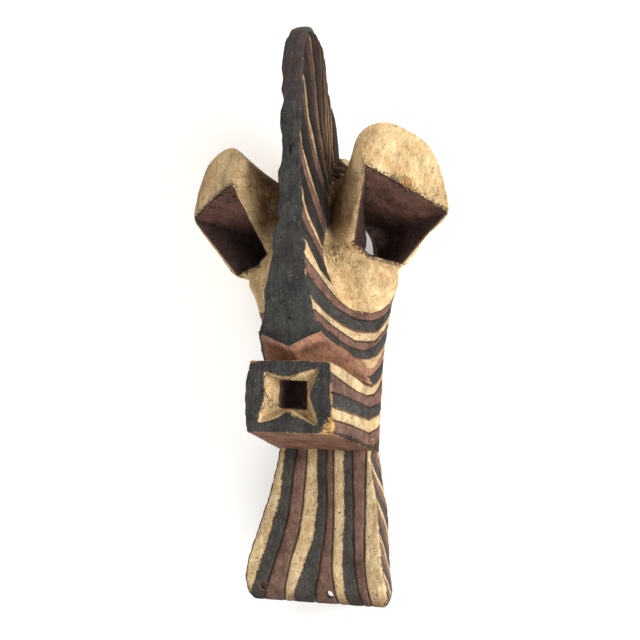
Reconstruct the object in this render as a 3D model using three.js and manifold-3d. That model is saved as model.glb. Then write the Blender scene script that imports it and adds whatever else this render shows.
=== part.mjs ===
// Songye kifwebe mask: one block of wood, carved in front and hollowed from behind.
// It lies on its back rim, face up. X runs to the viewer's right, Y up the mask to the top of the
// crest and Z out of the face. The origin is under the middle of the mask, on the plane of its back
// rim. Lengths are millimetres. Left and right are the viewer's.

import * as THREE from 'three';
import { mergeVertices } from 'three/addons/utils/BufferGeometryUtils.js';
import Module from 'manifold-3d';

const wasm = await Module();
wasm.setup();

// Bar: the flat strip that runs from the top of the crest down the nose and over the mouth box. Each
// station gives its height, the strip's half width and level, a point half way back down its side, and
// the foot of its side, which is the back edge of the crest above the head.
const BAR = [
  { y: 320, half: 7, front: 137, middle: [8, 132], foot: [5, 126] },
  { y: 316, half: 10, front: 144, middle: [11, 132], foot: [7, 118] },
  { y: 309, half: 11, front: 150, middle: [12, 122], foot: [8, 97] },
  { y: 300, half: 11.5, front: 154.5, middle: [13, 120], foot: [8.5, 86] },
  { y: 276, half: 11.5, front: 162, middle: [13.5, 120], foot: [9, 80] },
  { y: 248, half: 11, front: 166.5, middle: [13.5, 118], foot: [9.5, 67] },
  { y: 230, half: 11, front: 168.5, middle: [13.5, 110], foot: [10, 54] },
  { y: 205, half: 11, front: 170, middle: [14, 106], foot: [10, 43] },
  { y: 180, half: 11.5, front: 169, middle: [14.5, 105], foot: [10, 38] },
  { y: 150, half: 12, front: 169, middle: [15, 110], foot: [16, 60] },
  { y: 120, half: 13, front: 171, middle: [16.5, 120], foot: [19, 70] },
  { y: 85, half: 17, front: 174.5, middle: [21, 130], foot: [25, 80] },
  { y: 50, half: 20.5, front: 174.5, middle: [27.5, 136], foot: [38, 88] },
  { y: 23, half: 25, front: 174, middle: [33, 138], foot: [49, 90] },
  { y: 0, half: 30.5, front: 172, middle: [38.5, 136], foot: [55, 88] },
  { y: -15, half: 35.5, front: 169.5, middle: [43.5, 133], foot: [58, 84] },
  { y: -31, half: 39.5, front: 167.5, middle: [47, 130], foot: [60, 79] },
  { y: -46, half: 45, front: 165.5, middle: [50, 124], foot: [61, 72] },
  { y: -66, half: 48.5, front: 169, middle: [53, 118], foot: [61, 62] },
  { y: -85, half: 49.7, front: 170, middle: [54, 115], foot: [60.5, 57] },
  { y: -104, half: 49.8, front: 169, middle: [54, 114], foot: [60, 56] },
  { y: -124, half: 48.6, front: 165, middle: [53.5, 112], foot: [60, 55] },
  { y: -150, half: 47, front: 160, middle: [53, 110], foot: [60, 54] },
];
const BAR_CROWN = 1;

// Head: the rounded shell behind the bar. Each station gives the half width on the back rim, the
// widest point of the side, a point on the cheek and the level on the middle line.
const HEAD = [
  { y: 191, rim: 7, ridge: [9, 14], cheek: [7, 24], crown: 28 },
  { y: 187, rim: 16, ridge: [19, 18], cheek: [14, 36], crown: 44 },
  { y: 178, rim: 27, ridge: [31, 24], cheek: [22, 52], crown: 64 },
  { y: 164, rim: 39, ridge: [43, 30], cheek: [31, 64], crown: 78 },
  { y: 146, rim: 50, ridge: [54, 34], cheek: [40, 72], crown: 90 },
  { y: 120, rim: 60, ridge: [65, 38], cheek: [48, 80], crown: 99 },
  { y: 90, rim: 66, ridge: [73, 42], cheek: [56, 86], crown: 106 },
  { y: 62, rim: 70, ridge: [84, 58], cheek: [66, 94], crown: 112 },
  { y: 42, rim: 68, ridge: [88, 68], cheek: [68, 98], crown: 114 },
  { y: 24, rim: 62.5, ridge: [80.5, 62], cheek: [66, 94], crown: 116 },
  { y: 0, rim: 58, ridge: [74, 54], cheek: [62.5, 89], crown: 118 },
  { y: -28, rim: 54, ridge: [67.5, 46], cheek: [59.5, 82], crown: 116 },
  { y: -46, rim: 52, ridge: [65, 43], cheek: [58.5, 76], crown: 110 },
  { y: -75, rim: 50, ridge: [64, 44], cheek: [58, 62], crown: 90 },
  { y: -114, rim: 48, ridge: [62, 43], cheek: [57, 60], crown: 80 },
  { y: -150, rim: 48, ridge: [60, 42], cheek: [56, 56], crown: 60 },
];
const HEAD_STEPS = 8;

// Cut between the nose and the mouth box. The nose's underside falls back from its tip and rises to
// both sides of it; the top of the box falls back too.
const NOTCH = {
  tip: -30.7,
  tipLevel: 167.3,
  rise: 0.403,
  slope: 0.63,
  boxTop: -46.3,
  boxLevel: 165,
  boxSlope: 0.257,
};
// Underside of the mouth box
const BOX_FOOT = { y: -124, level: 165, slope: 0.205 };

// Beard: a flaring panel in front, with side walls that taper back to the rim
const BEARD = [
  { y: -138, half: 55.5, front: 52, bow: 1, rim: 48 },
  { y: -157, half: 57, front: 56, bow: 1.5, rim: 50 },
  { y: -194, half: 64, front: 60, bow: 2, rim: 55 },
  { y: -221, half: 70, front: 67, bow: 2, rim: 60 },
  { y: -247, half: 75.5, front: 77, bow: 2, rim: 61.5 },
  { y: -279, half: 82, front: 86, bow: 1.5, rim: 63 },
  { y: -300, half: 85, front: 82, bow: 1, rim: 65 },
  { y: -313, half: 84, front: 75, bow: 0.5, rim: 66.5 },
  { y: -320, half: 79, front: 69, bow: 0, rim: 66 },
];
const BEARD_EDGE = { chamfer: 3, drop: 4, sideShare: 0.55, bowShare: 0.7 };
const BEARD_WALL = 9;

// Mouth: a square hole at the bottom of a hollow star with four points
const MOUTH = { y: -83, half: 15.5, halfHeight: 15, bottom: 60, level: 152 };
const STAR = { level: 167, above: 7, growth: 1.12 };
const STAR_TIPS = [[-30, -57], [35, -55], [33, -114], [-34, -112]];
const STAR_DIPS = [[0, -66], [24, -84], [0, -99], [-23, -84]];

// Tie holes near the beard's lower edge
const TIE_HOLES = [[-62.5, -302.5], [17, -307.5]];
const TIE_HOLE = { diameter: 8.5, level: 80, length: 60, sides: 12 };

// Eye opening: its corners on the right eye, at the mean height of the two eyes, and where the pocket
// behind it breaks into the hollow
const EYE_CORNERS = [[79, 154, 146], [53, 79.5, 108], [66.5, 67, 99.5], [99, 57.5, 80], [150, 117, 86]];
const EYE_BACK = [[37, 109, 35], [49, 71, 35], [55, 64, 29], [61, 66, 22], [67, 99, 22]];
const POCKET_REACH = 0.25;
// Outline of the eye tube round its mouth, from the inner foot over the brow to the outer foot
const TUBE_MOUTH = [
  [43, 79, 104],
  [52, 112, 118],
  [60, 148, 132],
  [63, 180, 138],
  [69, 192, 135],
  [83, 202, 126],
  [100, 203, 113],
  [117, 196, 101],
  [133, 184, 91],
  [144, 162, 86],
  [151, 138, 84],
  [153, 117, 84],
  [128, 87, 80],
  [101, 55, 77],
  [72, 57, 92],
];
// The same outline where the tube grows out of the head
const TUBE_ROOT = [
  [18, 82, 90],
  [14, 110, 88],
  [17, 130, 80],
  [28, 146, 74],
  [38, 153, 64],
  [48, 152, 48],
  [56, 145, 36],
  [62, 137, 26],
  [66, 128, 18],
  [68, 118, 12],
  [69, 106, 10],
  [69, 92, 10],
  [70, 72, 16],
  [74, 46, 40],
  [52, 36, 70],
];
// Waist of the tube: how far out it stands, and how much lower it is than a straight tube
const TUBE_WAIST = { share: 0.45, pull: 3, dip: 0.03, browDip: 0.16, browLine: 150 };
// The right eye sits higher than the left, most of all at the inner end of its brow
const EYE_LIFT = 5;
const BROW_TILT = { above: 110, base: 0.4, rate: 0.014 };
const ROOT_LIFT_SHARE = 0.3;

// Hollow behind the face, open at the back and at the foot of the beard
const HOLLOW = [
  { y: 121, rim: 5, ridge: [6, 10], cheek: [5, 16], crown: 20 },
  { y: 114, rim: 23, ridge: [27, 20], cheek: [17, 40], crown: 46 },
  { y: 104, rim: 33, ridge: [42, 28], cheek: [30, 56], crown: 66 },
  { y: 90, rim: 39.5, ridge: [51, 34], cheek: [39, 69], crown: 80 },
  { y: 74, rim: 41, ridge: [56, 38], cheek: [44, 76], crown: 90 },
  { y: 46, rim: 46, ridge: [62, 44], cheek: [48, 80], crown: 98 },
  { y: 0, rim: 46, ridge: [59, 42], cheek: [48, 76], crown: 100 },
  { y: -46, rim: 42, ridge: [52, 36], cheek: [45, 66], crown: 96 },
  { y: -90, rim: 40, ridge: [49, 36], cheek: [44, 60], crown: 92 },
  { y: -122, rim: 39, ridge: [48, 34], cheek: [43, 54], crown: 84 },
  { y: -140, rim: 40, ridge: [47, 30], cheek: [44, 42], crown: 46 },
];
const HOLLOW_STEPS = 7;
const HOLLOW_OVERLAP = -132;
const PAST_RIM = 6;
const PAST_FOOT = 8;

// Grooves carved between the painted bands
const GROOVE = { half: 2, depth: 1.8, lift: 1.4 };
// Bands on the crest run back and down from the bar's edge. Each guide line is the upper edge of a pale
// band, from the height and level where it starts to where it runs out; between two guides there are
// grooves at these shares of the way.
const CREST_GUIDES = [
  [[309, 96], [188, 58]],
  [[317, 121], [187, 80]],
  [[319, 141], [182, 104]],
  [[268, 166], [156, 106]],
  [[203, 169], [128, 122]],
  [[140, 168], [76, 127]],
];
const CREST_SHARES = [[0, 0.5], [0, 0.5], [0, 0.5], [0, 0.16, 0.56], [0, 0.16, 0.56], [0]];
const CREST_STEPS = 3;
// Bands on the nose, cheeks, lip and mouth box: the heights at which each groove crosses the levels
const CHEEK_LEVELS = [171, 150, 120, 96, 80, 64, 44, 2];
const CHEEK_LINES = [
  [64, 44, 17, 5, 3, 9, 20, 40],
  [44, 22, 6, -2, -6, -3, 6, 23],
  [26, 10, -4, -12, -14, -9, 1, 16],
  [10, -5, -16, -23, -26, -22, -12, 2],
  [-4, -19, -30, -36, -38, -35, -26, -13],
];
const PALE_LEVELS = [172, 150, 130, 118];
const PALE_LINE = [82, 66, 49, 35];
const LIP_LEVELS = [88, 68, 44, 2];
const LIP_LINES = [
  [-60, -56, -48, -35],
  [-69, -72, -64, -51],
];
const BOX_LEVELS = [166, 120, 66, 44, 2];
const BOX_LINES = [
  [-60, -71, -85, -80, -67],
  [-80, -87, -99, -95, -82],
  [-95, -103, -112, -107, -94],
  [-108, -115, -127, -122, -109],
];
// Bands of the beard: where each groove crosses these heights
const BEARD_HEIGHTS = [-146, -190, -232, -276, -304];
const BEARD_LINES = [
  [-48, -49, -55, -64, -76],
  [-33, -37, -39, -48, -59],
  [-20, -21, -22, -28, -36],
  [-8, -5, -3, -11, -23],
  [3, 5, 9, 8, 1],
  [11, 14, 18, 22, 24],
  [24, 27, 31, 35, 36],
  [34, 37, 42, 49, 52],
  [50, 52, 55, 61, 63],
];
const BEARD_LINE_START = -148;
// Slanting bands on the beard's side walls
const SIDE_BANDS = { first: -154, pitch: 16.5, count: 9, slope: 0.6, edge: 5 };
// How far out from the middle plane the search for the wood's surface starts
const REACH = { crest: 34, nose: 60, flank: 200, front: 200 };

const WOOD = new THREE.MeshStandardMaterial({ color: 0x8a6a52, roughness: 0.85, metalness: 0 });

/** Solid of a closed geometry. */
function solidOf(geometry) {
  geometry.deleteAttribute('normal');
  geometry.deleteAttribute('uv');
  const merged = mergeVertices(geometry, 1e-4);
  return new wasm.Manifold(new wasm.Mesh({
    numProp: 3,
    vertProperties: new Float32Array(merged.attributes.position.array),
    triVerts: new Uint32Array(merged.index.array),
  }));
}

/** three.js mesh of a solid. */
function meshOf(solid, name, material) {
  const { vertProperties, triVerts } = solid.getMesh();
  const geometry = new THREE.BufferGeometry();
  geometry.setAttribute('position', new THREE.BufferAttribute(new Float32Array(vertProperties), 3));
  geometry.setIndex(new THREE.BufferAttribute(new Uint32Array(triVerts), 1));
  geometry.computeVertexNormals();
  const mesh = new THREE.Mesh(geometry, material);
  mesh.name = name;
  return mesh;
}

/** Mean of a list of points. */
const middleOf = (points) => [0, 1, 2].map((k) => points.reduce((sum, p) => sum + p[k], 0) / points.length);

/** Solid skinned over closed rings with the same number of points; a fan closes each end. */
function skin(rings, lastCentre = middleOf(rings[rings.length - 1])) {
  const count = rings[0].length;
  const points = [...rings.flat(), middleOf(rings[0]), lastCentre];
  const triangles = [];
  const lastRing = (rings.length - 1) * count;
  for (let i = 0; i < count; i += 1) {
    const next = (i + 1) % count;
    for (let start = 0; start < lastRing; start += count) {
      const [a, b] = [start + i, start + next];
      triangles.push([a, b, b + count], [a, b + count, a + count]);
    }
    triangles.push([points.length - 2, next, i], [points.length - 1, lastRing + i, lastRing + next]);
  }
  const build = (faces) => {
    const geometry = new THREE.BufferGeometry();
    geometry.setAttribute('position', new THREE.Float32BufferAttribute(points.flat(), 3));
    geometry.setIndex(faces.flat());
    return solidOf(geometry);
  };
  const solid = build(triangles);
  return solid.volume() > 0 ? solid : build(triangles.map(([a, b, c]) => [a, c, b]));
}

/** Ring across the mask at one height, from the right half of its outline. */
function mirroredRing(y, half) {
  const right = half.map(([x, z]) => [x, y, z]);
  const left = half.filter(([x]) => x > 0).map(([x, z]) => [-x, y, z]).reverse();
  return [...right, ...left];
}

/** Value at y on a line through falling heights, carried on past both ends. */
function valueAt(heights, values, y) {
  const below = heights.findIndex((height) => height < y);
  const i = below < 0 ? heights.length - 1 : Math.max(below, 1);
  const share = (y - heights[i - 1]) / (heights[i] - heights[i - 1]);
  return values[i - 1] + (values[i] - values[i - 1]) * share;
}

/** Points evenly spaced along a straight line. */
function line([a, b], steps) {
  return Array.from({ length: steps + 1 }, (_, i) => a.map((v, k) => v + (b[k] - v) * (i / steps)));
}

/** Crest, nose and the block of the mouth box. */
function barSolid() {
  return skin(BAR.map((s) => mirroredRing(s.y, [
    [0, s.foot[1] - 2],
    s.foot,
    s.middle,
    [s.half, s.front],
    [0, s.front + BAR_CROWN],
  ])));
}

/** Rounded shell through stations; with a floor below the rim it is the tool that cuts a hollow. */
function shellSolid(stations, steps, floor) {
  return skin(stations.map((s) => {
    const outline = [[s.rim, 0], s.ridge, s.cheek, [0, s.crown]].map(([x, z]) => new THREE.Vector3(x, z, 0));
    const side = new THREE.CatmullRomCurve3(outline, false, 'centripetal').getPoints(steps);
    const foot = floor < 0 ? [[0, floor], [s.rim, floor]] : [[0, 0]];
    return mirroredRing(s.y, [...foot, ...side.slice(0, -1).map((p) => [p.x, p.y]), [0, s.crown]]);
  }));
}

/** Beard section at a station; with an inset and a floor it is the section of the hollow inside. */
function beardRing(station, inset, floor, y = station.y) {
  const level = station.front - inset;
  const half = station.half - inset;
  const rim = station.rim - inset;
  const foot = floor < 0 ? [[0, floor], [rim, floor]] : [[0, 0]];
  return mirroredRing(y, [
    ...foot,
    [rim, 0],
    [rim + (half - rim) * BEARD_EDGE.sideShare, level / 2],
    [half, level - BEARD_EDGE.drop],
    [half - BEARD_EDGE.chamfer, level],
    [half / 2, level + station.bow * BEARD_EDGE.bowShare],
    [0, level + station.bow],
  ]);
}

function beardSolid() {
  return skin(BEARD.map((s) => beardRing(s, 0, 0)));
}

function hollowSolid() {
  const last = BEARD[BEARD.length - 1];
  const rings = [
    beardRing(BEARD[0], BEARD_WALL, -PAST_RIM, HOLLOW_OVERLAP),
    ...BEARD.slice(1).map((s) => beardRing(s, BEARD_WALL, -PAST_RIM)),
    beardRing(last, BEARD_WALL, -PAST_RIM, last.y - PAST_FOOT),
  ];
  return shellSolid(HOLLOW, HOLLOW_STEPS, -PAST_RIM).add(skin(rings));
}

/** Wedge of air between the nose and the mouth box. */
function notchSolid() {
  const reach = 90;
  const out = 200;
  const nose = (x, z) => NOTCH.tip + NOTCH.rise * Math.abs(x) + NOTCH.slope * (z - NOTCH.tipLevel);
  const box = (z) => NOTCH.boxTop + NOTCH.boxSlope * (z - NOTCH.boxLevel);
  const valley = (x) => (box(0) - nose(x, 0)) / (NOTCH.slope - NOTCH.boxSlope);
  return skin([-reach, 0, reach].map((x) => [
    [x, box(valley(x)), valley(x)],
    [x, box(out), out],
    [x, nose(x, out), out],
  ]));
}

/** Everything below the sloping underside of the mouth box. */
function underBoxSolid() {
  const reach = 120;
  const levels = [-20, 220];
  const foot = -400;
  const slope = (z) => BOX_FOOT.y + BOX_FOOT.slope * (z - BOX_FOOT.level);
  return skin([-reach, reach].map((x) => [
    [x, slope(levels[0]), levels[0]],
    [x, foot, levels[0]],
    [x, foot, levels[1]],
    [x, slope(levels[1]), levels[1]],
  ]));
}

function mouthSolid() {
  const square = (level) => [[-1, 1], [0, 1], [1, 1], [1, 0], [1, -1], [0, -1], [-1, -1], [-1, 0]]
    .map(([x, y]) => [x * MOUTH.half, MOUTH.y + y * MOUTH.halfHeight, level]);
  const star = (level, growth) => STAR_TIPS.flatMap((tip, i) => [tip, STAR_DIPS[i]])
    .map(([x, y]) => [x * growth, MOUTH.y + (y - MOUTH.y) * growth, level]);
  return skin([
    star(STAR.level + STAR.above, STAR.growth),
    star(STAR.level, 1),
    square(MOUTH.level),
    square(MOUTH.bottom),
  ]);
}

function tieHoleSolid([x, y]) {
  const radius = TIE_HOLE.diameter / 2;
  const bore = new THREE.CylinderGeometry(radius, radius, TIE_HOLE.length, TIE_HOLE.sides);
  bore.rotateX(Math.PI / 2);
  bore.translate(x, y, TIE_HOLE.level);
  return solidOf(bore);
}

/** Points of the right eye carried to one side of the mask, at that eye's own height. */
function placed(points, sign, lift) {
  return points.map(([x, y, z]) => {
    const share = y > BROW_TILT.above ? BROW_TILT.base + BROW_TILT.rate * (y - x) : 1;
    return [x * sign, y + sign * lift * share, z];
  });
}

/** Eye tube, solid, with a bulging front that peaks at the opening's inner top corner. */
function tubeSolid(sign) {
  const mouth = placed(TUBE_MOUTH, sign, EYE_LIFT);
  const root = placed(TUBE_ROOT, sign, EYE_LIFT * ROOT_LIFT_SHARE);
  const waist = mouth.map(([x, y, z], i) => {
    const [rootX, rootY, rootZ] = root[i];
    const dip = y > TUBE_WAIST.browLine ? TUBE_WAIST.browDip : TUBE_WAIST.dip;
    return [
      rootX + (x - rootX) * TUBE_WAIST.share - sign * TUBE_WAIST.pull,
      rootY + (y - rootY) * (TUBE_WAIST.share - dip),
      rootZ + (z - rootZ) * TUBE_WAIST.share,
    ];
  });
  return skin([root, waist, mouth], placed(EYE_CORNERS, sign, EYE_LIFT)[0]);
}

/** Pocket cut into the eye tube, through to the hollow. */
function pocketSolid(sign) {
  const mouth = placed(EYE_CORNERS, sign, EYE_LIFT);
  const back = placed(EYE_BACK, sign, EYE_LIFT);
  const outside = mouth.map((p, i) => p.map((v, k) => v + (v - back[i][k]) * POCKET_REACH));
  return skin([back, mouth, outside]);
}

/** The mask before its grooves are carved. */
function plainSolid() {
  let solid = shellSolid(HEAD, HEAD_STEPS, 0).add(barSolid());
  solid = solid.subtract(notchSolid()).subtract(underBoxSolid()).add(beardSolid());
  for (const sign of [1, -1]) {
    solid = solid.add(tubeSolid(sign));
  }
  solid = solid.subtract(hollowSolid()).subtract(mouthSolid());
  for (const sign of [1, -1]) {
    solid = solid.subtract(pocketSolid(sign));
  }
  for (const place of TIE_HOLES) {
    solid = solid.subtract(tieHoleSolid(place));
  }
  return solid;
}

/** Function that finds the wood's surface straight ahead of a point. */
function surfaceFinder(solid) {
  const wood = meshOf(solid, 'surface', WOOD);
  const ray = new THREE.Raycaster();
  return (start, direction) => {
    ray.set(new THREE.Vector3(...start), new THREE.Vector3(...direction));
    const hit = ray.intersectObject(wood)[0];
    return hit ? [{ point: hit.point, normal: hit.face.normal.clone() }] : [];
  };
}

/** V-shaped cutter that follows spots on the surface. */
function grooveSolid(spots) {
  const spread = GROOVE.half * (GROOVE.depth + GROOVE.lift) / GROOVE.depth;
  return skin(spots.map(({ point, normal }, i) => {
    const before = spots[Math.max(i - 1, 0)].point;
    const after = spots[Math.min(i + 1, spots.length - 1)].point;
    const forward = after.clone().sub(before).normalize();
    const across = forward.clone().cross(normal).normalize();
    const up = across.clone().cross(forward).normalize();
    const top = point.clone().addScaledVector(up, GROOVE.lift);
    return [
      point.clone().addScaledVector(up, -GROOVE.depth),
      top.clone().addScaledVector(across, spread),
      top.clone().addScaledVector(across, -spread),
    ].map((p) => p.toArray());
  }));
}

/** Lines of grooves on one flank as pairs of height and level, each with the reach of its search. */
function flankLines() {
  const lines = [];
  CREST_GUIDES.forEach((guide, i) => {
    const lower = CREST_GUIDES[Math.min(i + 1, CREST_GUIDES.length - 1)];
    for (const share of CREST_SHARES[i]) {
      const ends = guide.map((end, n) => end.map((v, k) => v + (lower[n][k] - v) * share));
      lines.push({ reach: REACH.crest, spots: line(ends, CREST_STEPS) });
    }
  });
  const crossed = (levels, heights, reach) => lines
    .push({ reach, spots: heights.map((y, i) => [y, levels[i]]) });
  crossed(PALE_LEVELS, PALE_LINE, REACH.nose);
  CHEEK_LINES.forEach((heights) => crossed(CHEEK_LEVELS, heights, REACH.flank));
  LIP_LINES.forEach((heights) => crossed(LIP_LEVELS, heights, REACH.flank));
  BOX_LINES.forEach((heights) => crossed(BOX_LEVELS, heights, REACH.flank));
  for (let k = 0; k < SIDE_BANDS.count; k += 1) {
    const y = SIDE_BANDS.first - SIDE_BANDS.pitch * k;
    const front = valueAt(BEARD.map((s) => s.y), BEARD.map((s) => s.front), y) - SIDE_BANDS.edge;
    lines.push({ reach: REACH.flank, spots: line([[y, front], [y - SIDE_BANDS.slope * front, 1]], 2) });
  }
  return lines;
}

/** All the groove cutters for a plain solid, joined. */
function groovesSolid(plain) {
  const find = surfaceFinder(plain);
  const tracks = [];
  for (const { reach, spots } of flankLines()) {
    for (const sign of [1, -1]) {
      tracks.push(spots.flatMap(([y, z]) => find([sign * reach, y, z], [-sign, 0, 0])));
    }
  }
  for (const crossings of BEARD_LINES) {
    const heights = [BEARD_LINE_START, ...BEARD.slice(1).map((s) => s.y)];
    tracks.push(heights.flatMap((y) => find(
      [valueAt(BEARD_HEIGHTS, crossings, y), y + 0.5, REACH.front],
      [0, 0, -1],
    )));
  }
  return tracks
    .filter((track) => track.length > 1)
    .map(grooveSolid)
    .reduce((joined, cutter) => joined.add(cutter));
}

const plain = plainSolid();
const [carved] = plain
  .subtract(groovesSolid(plain))
  .decompose()
  .sort((a, b) => b.volume() - a.volume());

const mask = new THREE.Group();
mask.add(meshOf(carved, 'carved_mask', WOOD));
export default mask;
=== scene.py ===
"""Carved and painted wooden mask with a crest, lying face up on its back rim."""

import logging
import math
from dataclasses import dataclass
from enum import Enum

import bmesh
import bpy
import numpy as np
from mathutils import Matrix, Vector
from mathutils.bvhtree import BVHTree
from mathutils.kdtree import KDTree

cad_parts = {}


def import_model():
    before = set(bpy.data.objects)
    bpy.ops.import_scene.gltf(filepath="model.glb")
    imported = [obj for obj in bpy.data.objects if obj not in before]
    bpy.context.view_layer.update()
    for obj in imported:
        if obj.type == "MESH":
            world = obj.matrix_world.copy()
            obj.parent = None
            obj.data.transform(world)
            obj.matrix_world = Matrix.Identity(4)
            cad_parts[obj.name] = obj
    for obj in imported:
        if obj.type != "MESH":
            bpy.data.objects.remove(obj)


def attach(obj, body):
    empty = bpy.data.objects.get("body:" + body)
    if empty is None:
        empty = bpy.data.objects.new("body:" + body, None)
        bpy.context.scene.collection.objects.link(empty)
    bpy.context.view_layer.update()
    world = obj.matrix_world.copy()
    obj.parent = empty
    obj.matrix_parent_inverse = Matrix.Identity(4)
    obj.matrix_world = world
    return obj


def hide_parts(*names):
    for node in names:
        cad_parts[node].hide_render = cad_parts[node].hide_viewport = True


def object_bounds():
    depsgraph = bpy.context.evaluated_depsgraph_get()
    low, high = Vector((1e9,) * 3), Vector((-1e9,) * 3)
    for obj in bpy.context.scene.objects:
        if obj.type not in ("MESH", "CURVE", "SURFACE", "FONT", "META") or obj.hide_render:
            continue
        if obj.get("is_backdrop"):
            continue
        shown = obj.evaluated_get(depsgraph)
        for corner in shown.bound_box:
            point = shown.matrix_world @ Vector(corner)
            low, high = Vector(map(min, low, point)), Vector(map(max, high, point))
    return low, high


LOG = logging.getLogger("mask")
MM = 0.001
FAR = 7.0
Point = tuple[float, float, float]
Pair = tuple[float, float]
Line = tuple[Pair, ...]
Color = tuple[float, float, float, float]
Socket = bpy.types.NodeSocket


def monotone(xs: np.ndarray, ys: np.ndarray, at: np.ndarray) -> np.ndarray:
    """Smooth curve through points that never overshoots them.

    Args:
        xs: rising positions of the points.
        ys: values at the points.
        at: positions to read.

    Returns:
        The curve's values at those positions, straight past both ends.
    """
    xs, ys, at = np.asarray(xs, float), np.asarray(ys, float), np.asarray(at, float)
    steps = np.diff(xs)
    slopes = np.diff(ys) / steps
    if len(xs) == 2:
        return ys[0] + slopes[0] * (at - xs[0])
    product = slopes[:-1] * slopes[1:]
    inner = np.where(product > 0, 2 * product / (slopes[:-1] + slopes[1:] + 1e-12), 0)
    tangents = np.concatenate([[slopes[0]], inner, [slopes[-1]]])
    i = np.clip(np.searchsorted(xs, at) - 1, 0, len(xs) - 2)
    t = np.clip((at - xs[i]) / steps[i], 0, 1)
    h = steps[i]
    value = (
        ys[i] * (1 + 2 * t) * (1 - t) ** 2
        + tangents[i] * h * t * (1 - t) ** 2
        + ys[i + 1] * t * t * (3 - 2 * t)
        - tangents[i + 1] * h * t * t * (1 - t)
    )
    value = np.where(at < xs[0], ys[0] + tangents[0] * (at - xs[0]), value)
    return np.where(at > xs[-1], ys[-1] + tangents[-1] * (at - xs[-1]), value)


def rounded(points: np.ndarray, steps: int, closed: bool = False) -> np.ndarray:
    """Centripetal curve through points.

    Args:
        points: one row for each point.
        steps: pieces that each stretch is cut into.
        closed: whether the curve runs back to its start.

    Returns:
        Rows of points on the curve.
    """
    p = np.asarray(points, float)
    if closed:
        p = np.vstack([p[-1], p, p[0], p[1]])
    else:
        p = np.vstack([2 * p[0] - p[1], p, 2 * p[-1] - p[-2]])
    rows = []
    for a, b, c, d in zip(p[:-3], p[1:-2], p[2:-1], p[3:]):
        ta = 0.0
        tb = ta + max(np.linalg.norm(b - a), 1e-4) ** 0.5
        tc = tb + max(np.linalg.norm(c - b), 1e-4) ** 0.5
        td = tc + max(np.linalg.norm(d - c), 1e-4) ** 0.5
        for k in range(steps):
            t = tb + (tc - tb) * k / steps
            ab = a + (b - a) * (t - ta) / (tb - ta)
            bc = b + (c - b) * (t - tb) / (tc - tb)
            cd = c + (d - c) * (t - tc) / (td - tc)
            abc = ab + (bc - ab) * (t - ta) / (tc - ta)
            bcd = bc + (cd - bc) * (t - tb) / (td - tb)
            rows.append(abc + (bcd - abc) * (t - tb) / (tc - tb))
    if not closed:
        rows.append(p[-2])
    return np.array(rows)


def mirrored(y: float, half: np.ndarray) -> np.ndarray:
    """Closed ring across the mask at one height.

    Args:
        y: the height.
        half: rows of x and z on the right half, from the middle line round to it again.

    Returns:
        Rows of x, y and z.
    """
    right = np.column_stack([half[:, 0], np.full(len(half), y), half[:, 1]])
    left = right[half[:, 0] > 1e-6][::-1] * [-1, 1, 1]
    return np.vstack([right, left])


def heights(stations: np.ndarray, spacing: float) -> np.ndarray:
    """Heights that keep each station and part the stretches between them evenly.

    Args:
        stations: falling heights.
        spacing: widest step.

    Returns:
        All the heights, falling.
    """
    rows = []
    for top, low in zip(stations[:-1], stations[1:]):
        count = max(math.ceil((top - low) / spacing), 1)
        rows.append(np.linspace(top, low, count, endpoint=False))
    return np.concatenate([*rows, stations[-1:]])


def between(stations: np.ndarray, spacing: float) -> np.ndarray:
    """Reads smooth curves through the stations' columns at even heights.

    Args:
        stations: rows that start with falling heights.
        spacing: widest step in height.

    Returns:
        More rows of the same kind.
    """
    y = heights(stations[:, 0], spacing)
    columns = [monotone(-stations[:, 0], stations[:, k], -y) for k in range(1, stations.shape[1])]
    return np.column_stack([y, *columns])


def grain_noise(points: np.ndarray, size: float | Point, seed: int) -> np.ndarray:
    """Soft seeded noise from -1 to 1.

    Args:
        points: rows of x, y and z.
        size: distance between the noise's bumps, one or three numbers.
        seed: picks the pattern.

    Returns:
        One value for each point.
    """
    table = np.random.default_rng(seed).random((32, 32, 32)) * 2 - 1
    p = points / np.asarray(size, float)
    cell = np.floor(p).astype(int)
    f = p - cell
    f = f * f * (3 - 2 * f)
    total = np.zeros(len(points))
    for corner in range(8):
        step = np.array([corner & 1, corner >> 1 & 1, corner >> 2 & 1])
        spot = (cell + step) % 32
        weight = np.prod(np.where(step == 1, f, 1 - f), axis=1)
        total += weight * table[spot[:, 0], spot[:, 1], spot[:, 2]]
    return total


def only(obj: bpy.types.Object) -> None:
    """Selects one object alone and makes it active.

    Args:
        obj: the object.
    """
    bpy.ops.object.select_all(action="DESELECT")
    obj.select_set(True)
    bpy.context.view_layer.objects.active = obj


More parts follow.
